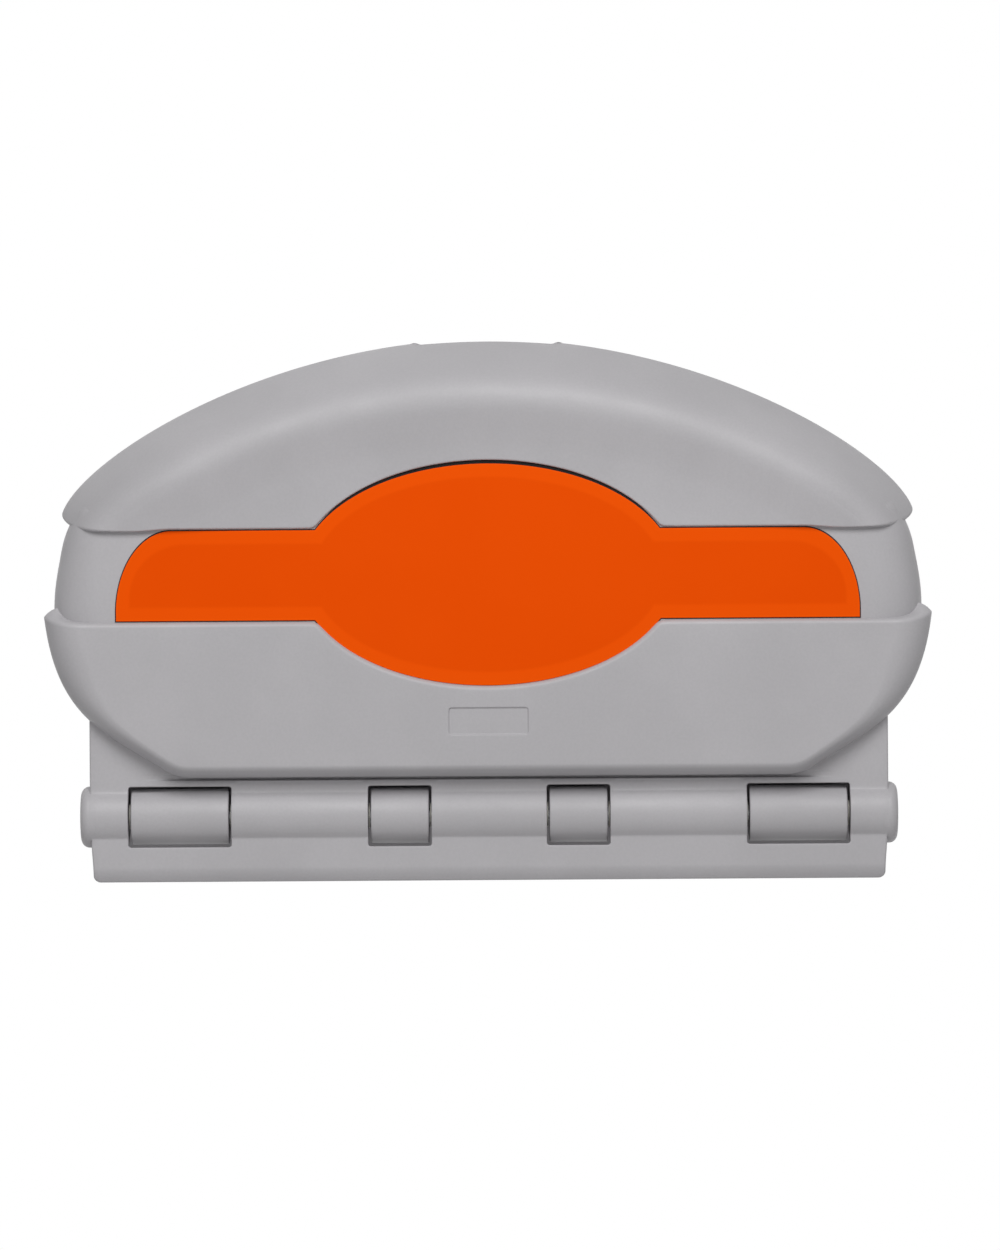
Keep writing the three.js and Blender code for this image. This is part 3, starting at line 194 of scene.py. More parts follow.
def by_length(points, count, closed=False):
    """Points spaced evenly along a polyline, by linear interpolation."""
    p = np.vstack([points, points[:1]]) if closed else np.asarray(points, float)
    length = np.concatenate([[0], np.cumsum(np.linalg.norm(np.diff(p, axis=0), axis=1))])
    at = np.linspace(0, 1, count, endpoint=not closed) * length[-1]
    return np.stack([np.interp(at, length, column) for column in p.T], -1)


def unit(vectors):
    return vectors / np.linalg.norm(vectors, axis=-1, keepdims=True)


def inward(points, closed=True):
    """Unit normals to the left of a polyline's direction: into an outline that runs anticlockwise."""
    along = np.roll(points, -1, 0) - np.roll(points, 1, 0) if closed else np.gradient(points, axis=0)
    return unit(np.stack([-along[:, 1], along[:, 0]], -1))


def mirrored(right):
    """A closed outline from its right half, whose two ends lie on the middle line."""
    return np.vstack([right, right[-2:0:-1] * (-1, 1)])


def table_outline(table, half, low, high, count):
    """A closed outline whose right half is smooth through a table of shares of the half width and height."""
    points = [(x * half, low + y * (high - low)) for x, y in table]
    return mirrored(through(points, np.linspace(0, 1, count)))


def both_sides(share):
    """Columns for shares of a right half, from its end over the middle to the left end, and their sides."""
    side = np.concatenate([np.ones(len(share)), -np.ones(len(share) - 1)])
    return np.concatenate([share[::-1], share[1:]]), side


def rounded_over(radius, steps):
    """How far in and how far back the steps of a rounded corner lie, from (radius, 0) to (0, radius)."""
    a = np.linspace(0, np.pi / 2, steps)
    return radius * (1 - np.sin(a)), radius * (1 - np.cos(a))


def grid_faces(rows, columns, close_rows=False, close_columns=False):
    """Four-cornered faces of a grid of points numbered row by row."""
    index = np.arange(rows * columns).reshape(rows, columns)
    if close_rows:
        index = np.vstack([index, index[:1]])
    if close_columns:
        index = np.hstack([index, index[:, :1]])
    return np.stack([index[:-1, :-1], index[:-1, 1:], index[1:, 1:], index[1:, :-1]], -1).reshape(-1, 4)


def patch(points, close_rows=False, close_columns=False, caps=()):
    """A grid of points (rows, columns, 3) as (points, faces). caps closes the first or last row, by a fan
    of triangles to its middle."""
    points = np.asarray(points, float)
    rows, columns = points.shape[:2]
    flat = points.reshape(-1, 3)
    faces = grid_faces(rows, columns, close_rows, close_columns).tolist()
    for cap in caps:
        ring = np.arange(columns) + (0 if cap == "first" else (rows - 1) * columns)
        middle = len(flat)
        flat = np.vstack([flat, flat[ring].mean(0)])
        after = np.roll(ring, -1)
        fan = np.stack([after, ring, np.full(columns, middle)], -1)
        faces += (fan if cap == "first" else fan[:, [1, 0, 2]]).tolist()
    return flat, faces


def joined(parts):
    """Several (points, faces) as one."""
    points, faces, start = [], [], 0
    for p, f in parts:
        points.append(p)
        faces += [[i + start for i in face] for face in f]
        start += len(p)
    return np.vstack(points), faces


def new_object(name, data):
    made = bpy.data.objects.new(name, data)
    bpy.context.scene.collection.objects.link(made)
    return made


def declare(piece, body, node):
    """Puts a piece on the body it rides and hides the solid that it stands for."""
    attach(piece, body)
    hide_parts(node)


def make_piece(name, shape, node, slot="grey_shell", body="bed", look=None, sharp=180.0, weld=0.02,
               made_of=None):
    """A mesh object from (points, faces) in mm: doubles merged, faces turned outwards, and smooth but for
    corners over sharp. An open skin is turned towards the point look and gets the shell's wall behind it."""
    points, faces = shape
    mesh = bpy.data.meshes.new(name)
    mesh.from_pydata(place_points(points), [], faces)
    work = bmesh.new()
    work.from_mesh(mesh)
    bmesh.ops.remove_doubles(work, verts=work.verts, dist=weld * MM)
    bmesh.ops.dissolve_degenerate(work, edges=work.edges, dist=weld * MM / 4)
    bmesh.ops.recalc_face_normals(work, faces=work.faces)
    if look is not None:
        eye = Vector(place_points(look))
        facing = sum(f.normal.dot(eye - f.calc_center_median()) * f.calc_area() for f in work.faces)
        if facing < 0:
            bmesh.ops.reverse_faces(work, faces=work.faces)
    work.to_mesh(mesh)
    work.free()
    mesh.shade_smooth()
    if sharp < 180:
        mesh.set_sharp_from_angle(angle=np.radians(sharp))
    mesh.materials.append(made_of or materials()[slot])
    piece = new_object(name, mesh)
    if look is not None:
        shell = piece.modifiers.new("wall", "SOLIDIFY")
        shell.thickness = bpy.context.scene.station_sizes.wall
        shell.offset = -1
    declare(piece, body, node)
    return piece


def rolled_edge(skin, face, inner, front, way, radius, turn, shelf_run, steps=6, climb=None):
    """Rows that carry a skin, and the face inside it, round their open edge: along the skin's first column,
    the face's last row and the skin's last column. The normal there is from inner, the direction inwards,
    and front, its share towards the front. Across is up or down (way 1 or -1), or square to the ellipse
    inside the recess. For an angle a from 0 to turn the point is edge - radius (1 - cos a) normal + radius
    sin a across. Then a shelf goes back by shelf_run(x): straight, or easing off towards a height climb
    above its start, by climb (1 - exp(-slope back / climb)). radius, turn and climb: (sides, middle)."""
    line = np.concatenate([skin[:, 0], face[-1, 1:-1], skin[::-1, -1]])
    x, count = line[:, 0], face.shape[1] - 2
    right = np.concatenate([-inner * np.sqrt(1 - front[:, None] ** 2), front[:, None]], -1)
    normal = unit(np.concatenate([right, np.tile([0.0, 0.0, 1.0], (count, 1)), right[::-1] * (-1, 1, 1)]))
    lean = np.gradient(line[:, 1]) / np.minimum(np.gradient(x), -1e-6)
    lean = np.where(np.abs(x) < RECESS_HALF, lean, 0)
    upright = way * np.stack([-lean, np.ones_like(x), np.zeros_like(x)], -1)
    across = unit(upright - (upright * normal).sum(1, keepdims=True) * normal)

    def all_round(sides, middle):
        sides = np.broadcast_to(sides, front.shape)
        return np.concatenate([sides, np.full(count, middle), sides[::-1]])

    r, turn = all_round(*radius)[:, None], all_round(*turn)
    a = np.linspace(0, 1, steps + 1)[1:, None, None] * turn[:, None]
    arc = line - r * (1 - np.cos(a)) * normal + r * np.sin(a) * across
    back = np.linspace(0, 1, 4 if climb is None else 9)[1:, None] * shelf_run(np.abs(x))
    lift = back / np.tan(turn)
    if climb is not None:
        climb = all_round(*climb)
        lift = climb * (1 - np.exp(-lift / climb))
    shelf = arc[-1] - back[..., None] * normal + lift[..., None] * across
    return np.concatenate([line[None], arc, shelf])


def recess_arc(x, side):
    """Height of the ellipse that the crown (side 1) and apron (side -1) leave round the label."""
    a = LABEL_A + RECESS_MARGIN
    b = LABEL_B + (RECESS_TOP_MARGIN if side > 0 else RECESS_MARGIN)
    return LABEL_H + side * b * np.sqrt(np.clip(1 - (x / a) ** 2, 0, 1))


# Crown, or hood


def crown_lip(run, x, front):
    """Height at which the crown's small lower radius starts, and that radius. The edge is level but for a
    rise towards the outline, 16 mm at the very tip and fading by a factor e every 15.5 mm inwards. front is
    the normal's share towards the front."""
    radius = LIP_RADIUS + LIP_TIP_RADIUS * (1 - front)
    rise = CROWN_LIP_RISE * np.exp(-run / CROWN_LIP_FADE)
    return CROWN_LIP_H - 2.2 * smoothstep(325, 365, np.abs(x)) + rise + radius * np.tan(LIP_TURN / 2), radius


def crown_rings(t):
    """Rings between the outline (one cubic from tip to apex) and the ridge: share s of the way from one to
    the other at the same t, and back from the front by the rounded edge's drop at s, stretched so that the
    ridge lies further back at the tips. Gives x, h, depth, run, the unit direction inwards and the front
    share of the normal."""
    outline = bezier(CROWN_ARCH, t)
    u = (1 - t)[:, None] ** np.arange(7)
    ridge = np.stack([u[:, 1::2] @ RIDGE_X, RIDGE_TOP + u[:, 2::2] @ RIDGE_H], -1)
    across = ridge - outline
    chord = np.linalg.norm(across, axis=1)
    run, drop = profile(CROWN_EDGE, 32)
    s = (run / run[-1])[:, None]
    tip = CROWN_TIP_BACK * (1 - smoothstep(0, CROWN_BLEND, t))
    drop = drop[:, None] * (1 - tip / drop[0]) + tip
    slope = -np.gradient(drop, axis=0) / np.gradient(s * chord, axis=0)
    front = 1 / np.sqrt(1 + slope**2)
    front[0] = 0
    back = np.broadcast_to(np.array([[SHELL_BACK], [50], [56]]), (3, len(t)))
    s = np.vstack([np.zeros((3, 1)), s])
    spot = outline + s[..., None] * across
    inner = np.broadcast_to(across / chord[:, None], spot.shape)
    return (spot[..., 0], spot[..., 1], np.vstack([back, CROWN_FACE - drop]), s * chord, inner[..., 0],
            inner[..., 1], np.vstack([np.zeros_like(back), front]))


def crown_shape():
    """The rings of the rounded edge, each ending on the lower edge, mirrored. Inside the ridge, columns go
    straight down to the lower edge or the recess, at depth ridge - cove(distance below the ridge)."""
    dense = np.linspace(-0.1, 1, 3000)
    rings = crown_rings(dense)
    ring_x, ring_h, _, run, _, _, front = rings
    under = ring_h < crown_lip(run, ring_x, front)[0]
    end = dense[len(dense) - 1 - np.argmax(under[:, ::-1], axis=1)]

    # Columns crowd where the recess meets the lower edge and at the grip's ends
    tip_x = np.interp(end[-1], dense, ring_x[-1])
    xs = np.unique(np.concatenate([
        np.linspace(0, tip_x, 90), np.linspace(60, 82, 23), np.linspace(163, 190, 37),
        tip_x - np.geomspace(0.4, 12, 9),
    ]))
    share = np.clip((1 - np.interp(xs, ring_x[-1, ::-1], dense[::-1])) / (1 - end[-1]), 0, 1)
    share, side = both_sides(share)
    t = 1 - share * (1 - end[:, None])
    x, h, d, run, in_x, in_h, front = (
        np.stack([np.interp(a, dense, v) for a, v in zip(t, values)]) for values in rings)
    x = x * side

    # Hand grip: the back of the crown is cut down to a floor between sloped ends, and its top there is
    # a little lower
    inside = 1 - smoothstep(GRIP_HALF, GRIP_HALF + GRIP_END, np.abs(x[0]))
    cut = np.clip(inside * 6, 0, 1)
    lowered = (1 - smoothstep(67, 75, np.abs(x))) * np.exp(-run / 9)
    h = h - lowered * (1.4 + 1.2 * np.sqrt(1 - np.clip(np.abs(x) / 75, 0, 1) ** 2))
    floor = h[0] + (GRIP_FLOOR_H - h[0]) * inside
    front_d = SHELL_BACK + (GRIP_FLOOR_D - SHELL_BACK) * cut
    grip = np.stack([np.stack([x[0], height, depth], -1) for height, depth in (
        (floor, np.full_like(floor, SHELL_BACK)), (floor, front_d - cut * 1.5),
        (floor + 1.5 * inside, front_d), (h[0] - 3.0 * inside, front_d),
        (h[0] - 0.9 * inside, front_d + 0.5 * cut),
    )])
    ahead = np.array([[0], [0.15], [0.3]])
    d[:3] = np.maximum(d[:3], SHELL_BACK * (1 - cut) + (GRIP_FLOOR_D + ahead) * cut)
    skin = np.stack([x, h, d], -1)

    # Face, from the ridge down
    top_x, top_h, top_d = skin[-1].T
    low = crown_lip(200.0, top_x, 1.0)[0]
    low[[0, -1]] = top_h[[0, -1]]
    low = np.minimum(soft_max(low, recess_arc(top_x, 1) + LIP_RADIUS, 3.0), top_h)
    share = 1 - (1 - np.linspace(0, 1, 34)) ** 1.15
    fh = top_h + share[:, None] * (low - top_h)
    fd = top_d - np.interp(top_h - fh, *profile(CROWN_COVE, 60, flat_start=True))
    face = np.stack([np.broadcast_to(top_x, fh.shape), fh, fd], -1)
    lip = rolled_edge(
        skin, face, np.stack([in_x[:, 0], in_h[:, 0]], -1), front[:, 0], -1,
        (crown_lip(0, 0, front[:, 0])[1], LIP_RADIUS), (LIP_TURN, LIP_TURN),
        lambda x: np.where(x > SHELF_WIDE_X, CROWN_SHELF_RUN, SHELF_RUN))
    return joined([patch(np.concatenate([grip, skin])), patch(face), patch(lip)])


def exit_radius(points, angles):
    """Distance from the bed's middle to a polyline, looking along each angle."""
    rel = np.asarray(points, float) - BED_MIDDLE
    a = np.arctan2(rel[:, 1], rel[:, 0])
    order = np.argsort(a)
    return np.interp(angles, a[order], np.hypot(rel[:, 0], rel[:, 1])[order], period=2 * np.pi)


def basin_outline(run=0.0):
    """The basin's closed outline, shrunk about its middle by run in width and in height."""
    return table_outline(BASIN_OUTLINE, BASIN_HALF - run, BASIN_LOW + run, BASIN_HIGH - run, 600)


def outside_tray(x, h):
    """The least depth of a skin in front of the tray: the shell's back, and over the basin as far in front
    of the flange as the basin's wall is deep there, with some room round it."""
    rel = np.stack([x, h], -1) - BED_MIDDLE
    angle = np.arctan2(rel[..., 1], rel[..., 0])
    rim, floor = exit_radius(basin_outline(), angle), exit_radius(basin_outline(BASIN_RUN), angle)
    share = np.clip((rim + BASIN_CLEAR - np.linalg.norm(rel, axis=-1)) / (rim - floor), 0, 1)
    return SHELL_BACK + BASIN_DEPTH * np.interp(share, *through(BASIN_WALL, np.linspace(0, 1, 40)).T)


# Belt


def belt_shape():
    """Rings: a smooth closed outline shrunk about its middle, in width and height each by the run of its
    rounded edge, then on to the middle of the flat front. It ends out of sight behind the apron and the
    crown, and leans back from the crown's lower edge on."""
    outline = by_length(table_outline(BELT_OUTLINE, BELT_HALF, BELT_LOW, BELT_HIGH, 500), 320, closed=True)
    run, drop = profile(BELT_EDGE, 18)
    share = np.linspace(0.05, 0.95, 19)
    left = 1 - np.stack([run / BELT_HALF, 2 * run / (BELT_HIGH - BELT_LOW)], -1)
    left = np.concatenate([[(1, 1), (1, 1)], left, left[-1] * (1 - share[:, None])])
    depth = np.concatenate([[SHELL_BACK, 58], BELT_FACE - drop, np.full(len(share), BELT_FACE)])[:, None]
    middle = (0, (BELT_LOW + BELT_HIGH) / 2)
    rings = middle + left[:, None] * (outline - middle)
    depth = np.maximum(depth - BELT_LEAN * np.maximum(rings[..., 1] - BELT_LEAN_H, 0), SHELL_BACK)
    points, faces = patch(np.concatenate([rings, depth[..., None]], -1), close_columns=True, caps=("last",))
    low, high = BELT_SHOWN
    return points, [f for f in faces if low < points[f, 1].mean() < high]


# Apron


def apron_outline():
    """Right half: flat foot, a quadratic bend and a cubic side up to the shoulder, then straight up."""
    bend_start, corner = np.array((APRON_BEND_X, APRON_FOOT)), np.array(APRON_CORNER)
    shoulder = np.array((APRON_HALF, APRON_SHOULDER))
    handle = bend_start + (APRON_HANDLE * (corner[0] - APRON_BEND_X), 0)
    t = np.linspace(0, 1, 60)[:, None]
    bend = (1 - t) ** 2 * bend_start + 2 * t * (1 - t) * handle + t**2 * corner
    side = bezier([corner, *(corner + (shoulder - corner) * APRON_SIDE), shoulder], np.linspace(0, 1, 200))
    foot, rise = np.linspace((0, APRON_FOOT), bend_start, 120), np.linspace(shoulder, shoulder + (0, 60), 60)
    return by_length(np.vstack([foot, bend[1:], side[1:], rise[1:]]), 1600)


def apron_rim(depth, front):
    """Height of the rim's corner at a depth, less the tangent length of its rounding; radius, turn and the
    climb of the shelf behind it, which starts at 45 degrees at the sides and 23 along the front."""
    radius = 3.0 + 2.5 * front
    turn = np.radians(45 + 22 * front)
    corner = soft_min(RIM_H + RIM_SLOPE * (APRON_FACE - depth), RIM_CREST, 2.0)
    return corner - radius * np.tan(turn / 2), radius, turn, 9.5 - 7.5 * smoothstep(97, 124, depth)


def inset_depth(x, h, corner=3.5):
    """Depth of the blank inset: a rounded rectangle's distance turned into a soft step of 1.7 mm."""
    qx = np.abs(x) - INSET_HALF + corner
    qh = np.abs(h - (INSET_LOW + INSET_HIGH) / 2) - (INSET_HIGH - INSET_LOW) / 2 + corner
    distance = np.hypot(np.maximum(qx, 0), np.maximum(qh, 0)) + np.minimum(np.maximum(qx, qh), 0) - corner
    return 1.7 * (1 - smoothstep(-1.3, 0.4, distance))


def apron_shape():
    """As the crown, upside down: rings inwards from the outline, each ending on the rim's plane, and inside
    them columns straight up to the rim or the recess. The rim is rolled back over a larger radius."""
    line = apron_outline()
    share_of = np.linspace(0, 1, len(line))
    normal = inward(line, closed=False)
    normal[0] = (0, 1)
    wide = 24
    kernel = np.hanning(wide + 1)
    padded = np.vstack([normal[wide:0:-1] * (-1, 1), normal, np.repeat(normal[-1:], wide, 0)])
    smooth = [np.convolve(column, kernel / kernel.sum(), "same") for column in padded.T]
    normal = unit(np.stack(smooth, -1)[wide:-wide])

    run, drop = profile(APRON_EDGE, 26)
    front = 1 / np.sqrt(1 + np.gradient(drop, run) ** 2)
    run = np.concatenate([np.zeros(4), run])
    depth = np.concatenate([[SHELL_BACK, 58, 72, 86], APRON_FACE - drop])
    front = np.concatenate([np.zeros(5), front[1:]])
    rim, radius, turn, climb = apron_rim(depth, front)
    # The rounded edge is tight along the foot and wide up the sides
    spread = (APRON_FOOT_RUN + (1 - APRON_FOOT_RUN) * smoothstep(50, 150, line[:, 1]))[:, None]
    end = []
    for w, h in zip(run, rim):
        ring_h = (line + w * spread * normal)[:, 1]
        high = np.argmax(ring_h > h)
        end.append(np.interp(h, ring_h[high - 1:high + 1], share_of[high - 1:high + 1]))
    end = np.array(end)

    # Columns crowd at the blank inset's sides and where the recess meets the rim
    ridge = line + run[-1] * spread * normal
    upto = share_of <= end[-1]
    wanted_x = np.concatenate([np.arange(38, 44, 0.5), np.linspace(166, 190, 33)])
    extra = np.interp(wanted_x, ridge[upto, 0], share_of[upto]) / end[-1]
    share, side = both_sides(np.unique(np.concatenate([np.linspace(0, 1, 130), extra])))
    at = share * end[:, None]

    def along(values):
        return np.stack([[np.interp(a, share_of, v) for v in values.T] for a in at]).transpose(0, 2, 1)

    inner = along(normal)
    flat = along(line) + run[:, None, None] * along(spread) * inner
    x, h = flat[..., 0] * side, flat[..., 1]
    # Over the hinge block its wall ends on the strip, clear of the gas spring
    on_block = (h < BLOCK_TOP - 4) & (np.abs(x) < BLOCK_HALF - 8)
    d = np.where(on_block, np.maximum(depth[:, None], STRIP_D - GROOVE - 2), depth[:, None])
    skin = np.stack([x, h, d], -1)

    # Face, from the foot up, in three bands of rows, so that they run level past the blank inset. Where the
    # foot has risen past these levels, they are squeezed in above it
    top_x, foot_h = x[-1], h[-1]
    rim_h, rim_radius, rim_turn, rim_climb = apron_rim(APRON_FACE, 1.0)
    high = np.maximum(soft_min(rim_h, recess_arc(top_x, -1) - RIM_ROUND, 3.0), foot_h)
    fine = np.linspace(-2.4, 1.6, 11)
    levels = np.concatenate([INSET_LOW - fine[::-1], np.linspace(INSET_LOW + 6, INSET_HIGH - 6, 4),
                             INSET_HIGH + fine])
    levels = np.concatenate([[levels[0] - 2], levels, [levels[-1] + 2]])[:, None]
    centre = len(high) // 2
    room = np.clip((high - foot_h) / (high[centre] - foot_h[centre]), 0, 1)
    fits = 1 - smoothstep(62, 74, foot_h)
    middle = levels * fits + (foot_h + (levels - foot_h[centre]) * room) * (1 - fits)
    share = np.linspace(0, 1, 7)[:-1, None]
    fh = np.concatenate([foot_h + share * (middle[0] - foot_h), middle,
                         middle[-1] + (share + 1 / 6) * (high - middle[-1])])
    fx = np.broadcast_to(top_x, fh.shape)
    face = np.stack([fx, fh, APRON_FACE - inset_depth(fx, fh)], -1)
    rolled = rolled_edge(
        skin, face, inner[:, 0], front, 1, (radius, rim_radius), (turn, rim_turn),
        lambda x: SHELF_RUN + (APRON_SHELF_RUN - SHELF_RUN) * smoothstep(SHELF_WIDE_X, 425, x),
        9, (climb, rim_climb))
    return joined([patch(skin), patch(face), patch(rolled)])


# Hinge strip, barrel and lower plate


def hinge_depth(h):
    """Depth of the front at a height: the strip, the barrel's circle and the plate, the largest of each."""
    barrel = HINGE_D + np.sqrt(np.clip(BARREL_R**2 - h**2, 0, None))
    above = soft_max(barrel, STRIP_D, 2.0)
    below = soft_max(barrel, PLATE_D, 0.8)
    return np.where(h > 0, above, below)


def hinge_rows():
    """Depth and height down the front: over the top, strip, barrel, plate and the plate's lower edge, which
    turns back 7 mm only, so that it swings past the knuckles' arms."""
    h = np.concatenate([np.linspace(*band) for band in (
        (110, 46, 10), (45, 36, 19), (34.4, 24.6, 11), (24, -20, 27), (-20.6, -36.6, 17),
        (-40, PLATE_FOOT + 15, 6),
    )])
    t = np.linspace(0, 1, 12)[1:]
    return np.vstack([
        [(94, BLOCK_TOP), (97.5, BLOCK_TOP), (99.3, BLOCK_TOP - 0.7)], np.stack([hinge_depth(h), h], -1),
        np.stack([PLATE_D - 5.8 * t**1.7, PLATE_FOOT + 15 - 14.6 * t], -1),
        [(PLATE_D - 6.3, PLATE_FOOT + 0.1), (PLATE_D - 7.2, PLATE_FOOT)],
    ])


def window_frame(x0, x1, xs, hs):
    """Rings from a rectangle of grid points in to a rounded window, over its rounded rim and back along
    its wall, less far at its foot, which swings past the knuckle's arm. A rectangle's point goes to the
    nearest point of the rounded rectangle."""
    reach = WINDOW_MARGIN + 1e-6
    gx = xs[(xs > x0 - reach) & (xs < x1 + reach)]
    gh = np.sort(hs[np.abs(hs) < WINDOW_HALF + reach])
    ring = np.vstack([np.stack(np.broadcast_arrays(*side), -1) for side in (
        (gx[:-1], gh[0]), (gx[-1], gh[:-1]), (gx[:0:-1], gh[-1]), (gx[0], gh[:0:-1]))])
    mid = (x0 + x1) / 2
    local = ring - (mid, 0)
    core_half = np.array(((x1 - x0) / 2, WINDOW_HALF)) - WINDOW_CORNER
    core = np.clip(local, -core_half, core_half)
    out = unit(local - core)
    start = core + (WINDOW_CORNER + WINDOW_ROUND) * out
    rings = [(local + s * (start - local), 0.0) for s in (0, 0.5, 1)]
    rings += [(core + (WINDOW_CORNER + wide) * out, deep)
              for wide, deep in zip(*rounded_over(WINDOW_ROUND, 6))][1:]
    rings += [(core + WINDOW_CORNER * out, WINDOW_ROUND + WINDOW_WALL * s) for s in (0.3, 1)]
    rows = []
    for flat, sunk in rings:
        x, h = flat.T
        wall = np.minimum(sunk, 6 + WINDOW_WALL * smoothstep(-29, -12, h))
        rows.append(np.stack([x + mid, h, hinge_depth(h) - wall], -1))
    return patch(np.stack(rows), close_columns=True)


def hinge_shape():
    """A grid of columns along x and rows down the front, with a groove under the apron's foot, its ends
    rolled back, its window rectangles left out, and a frame of rings put in each."""
    d, h = hinge_rows().T
    near = np.arange(-6, 4.01, 1)
    xs = [np.linspace(-400, 400, 41)] + [edge for x0, x1 in WINDOWS for edge in (x0 + near, x1 - near)]
    xs = np.unique(np.round(np.concatenate(xs), 3))
    off = np.abs(xs[:, None] - np.ravel(np.add(WINDOWS, (-WINDOW_MARGIN, WINDOW_MARGIN))))
    xs = xs[((off < 1e-6) | (off > 0.8)).all(1)]
    # How far out each row reaches, and the radius of its end
    reach = np.where(h > -21, BLOCK_HALF, BLOCK_HALF - 1.5 - 2.0 * smoothstep(-22, -60, h))
    corner = 7.0
    below = np.clip(PLATE_FOOT + corner - h, 0, corner)
    reach = reach - (corner - np.sqrt(corner**2 - below**2))
    end_r = np.where(np.abs(h) < 23.5, 0.2, 2.2)
    back = np.minimum(d, np.where(h > 31, SHELL_BACK, 78.0))
    ends = [(400 + share * (reach - end_r - 400), d) for share in (0.4, 1.0)]
    ends += [(reach - end_r * wide, np.maximum(d - end_r * deep, back))
             for wide, deep in zip(*rounded_over(1, 5))][1:]
    start = ends[-1][1]
    ends += [(reach, start + share * (np.minimum(back, start) - start)) for share in (0.5, 1.0)]
    right = np.stack([np.stack([x, h, depth], -1) for x, depth in ends], 1)
    left = (right * (-1, 1, 1))[:, ::-1]
    groove = GROOVE * smoothstep(37.2, 39.0, h) * (1 - smoothstep(42.5, 44.5, h))
    sunk = groove[:, None] * (1 - smoothstep(GROOVE_END - 24, GROOVE_END, np.abs(xs)))
    middle = np.stack(np.broadcast_arrays(xs, h[:, None], d[:, None] - sunk), -1)
    whole = np.concatenate([left, middle, right], 1)
    top = whole[:, :, 1] > 60
    whole[top, 2] = np.maximum(whole[top, 2], outside_tray(whole[top, 0], whole[top, 1]))
    faces = grid_faces(*whole.shape[:2])
    flat = whole.reshape(-1, 3)
    x, height = flat[faces].mean(1)[:, :2].T
    inside = h[np.abs(h) < WINDOW_HALF + WINDOW_MARGIN + 1e-6]
    within = np.any([(x > x0 - WINDOW_MARGIN) & (x < x1 + WINDOW_MARGIN) for x0, x1 in WINDOWS], axis=0)
    solid = ~(within & (height > inside.min()) & (height < inside.max()))
    return joined([(flat, faces[solid].tolist())] + [window_frame(x0, x1, xs, h) for x0, x1 in WINDOWS])


def turned_shape(table, closed=True):
    """A profile of (x, radius) turned round the hinge axis: a closed loop, or open with its ends capped."""
    t = np.asarray(table, float)
    a = np.linspace(0, 2 * np.pi, 96, endpoint=False)
    r = t[:, 1:]
    grid = np.stack(np.broadcast_arrays(t[:, :1], r * np.cos(a), HINGE_D + r * np.sin(a)), -1)
    return patch(grid, close_rows=closed, close_columns=True, caps=() if closed else ("first", "last"))


def bar_shape(outline, low, high, round_r, along_x=False, steps=3):
    """An outline of (x, h) carried from one depth to another, or one of (h, d) carried along x, with its
    two ends rounded over."""
    outline = np.asarray(outline, float)
    wide, deep = rounded_over(round_r, steps + 1)
    rings = outline + np.concatenate([wide, wide[::-1]])[:, None, None] * inward(outline)
    level = np.concatenate([low + deep, high - deep[::-1]])[:, None, None]
    level = np.broadcast_to(level, rings.shape[:2] + (1,))
    return patch(np.concatenate([level, rings] if along_x else [rings, level], -1), close_columns=True,
                 caps=("first", "last"))


def slab_shape(low, high, corner=1.0):
    """A box between two corners with small radii all round."""
    (x0, y0, d0), (x1, y1, d1) = low, high
    x0, y0, x1, y1 = x0 + corner, y0 + corner, x1 - corner, y1 - corner
    middles = np.array([(x1, y0), (x1, y1), (x0, y1), (x0, y0)])
    a = (np.linspace(0, 1, 4) + np.arange(-1, 3)[:, None]) * np.pi / 2
    outline = middles[:, None] + corner * np.stack([np.cos(a), np.sin(a)], -1)
    return bar_shape(outline.reshape(-1, 2), d0, d1, 0.6, steps=2)


def hinge_core_shape():
    """Behind the front: a tube for each length of barrel between the windows, with an open place for the
    crank in the last, ribs to the plate, and the strip's floor with a slot for the gas spring's rod."""
    parts = []
    start, stop = CRANK_PLACE
    for x0, x1 in np.reshape([-BLOCK_HALF, *np.ravel(WINDOWS), BLOCK_HALF], (-1, 2)):
        a, b = x0 + 0.4, x1 - 0.4
        for a, b, bore in [(a, start, 10.4), (stop, b, 28.5)] if x1 == BLOCK_HALF else [(a, b, 10.4)]:
            parts.append(turned_shape(
                [(a, bore), (a, 31), (a + 0.5, 31.5), (b - 0.5, 31.5), (b, 31), (b, bore)]))
        for rib in (x0 + 0.5, x1 - 4.0):
            rib = min(max(rib, -BLOCK_HALF + 9), BLOCK_HALF - 12.5)
            parts.append(slab_shape((rib, PLATE_FOOT + 13, 78.5), (rib + 3.5, -14, 99.5)))
    for x0, x1, front in ((1 - BLOCK_HALF, start, 97.5), (start, stop, 75.5), (stop, BLOCK_HALF - 1, 97.5)):
        parts.append(slab_shape((x0, 31.2, SHELL_BACK + 0.3), (x1, 35, front)))
    return joined(parts)


def end_cap_shape(side):
    """The barrel's closed end: a short drum whose corner is rounded over 8.5 mm. It starts a little inside
    the strip and stands 0.04 mm proud of the barrel, so that the joint doesn't show, as on the real one."""
    r = BARREL_R + 0.04
    table = np.array([(-8, 26.5), (-8, 27.2), (-6.5, 27.2), (-6.5, r - 0.2), (-6.3, r),
                      *((9.8 - wide, r - deep) for wide, deep in zip(*rounded_over(8.5, 12)))])
    return turned_shape(table * (side, 1) + (side * BLOCK_HALF, 0), closed=False)


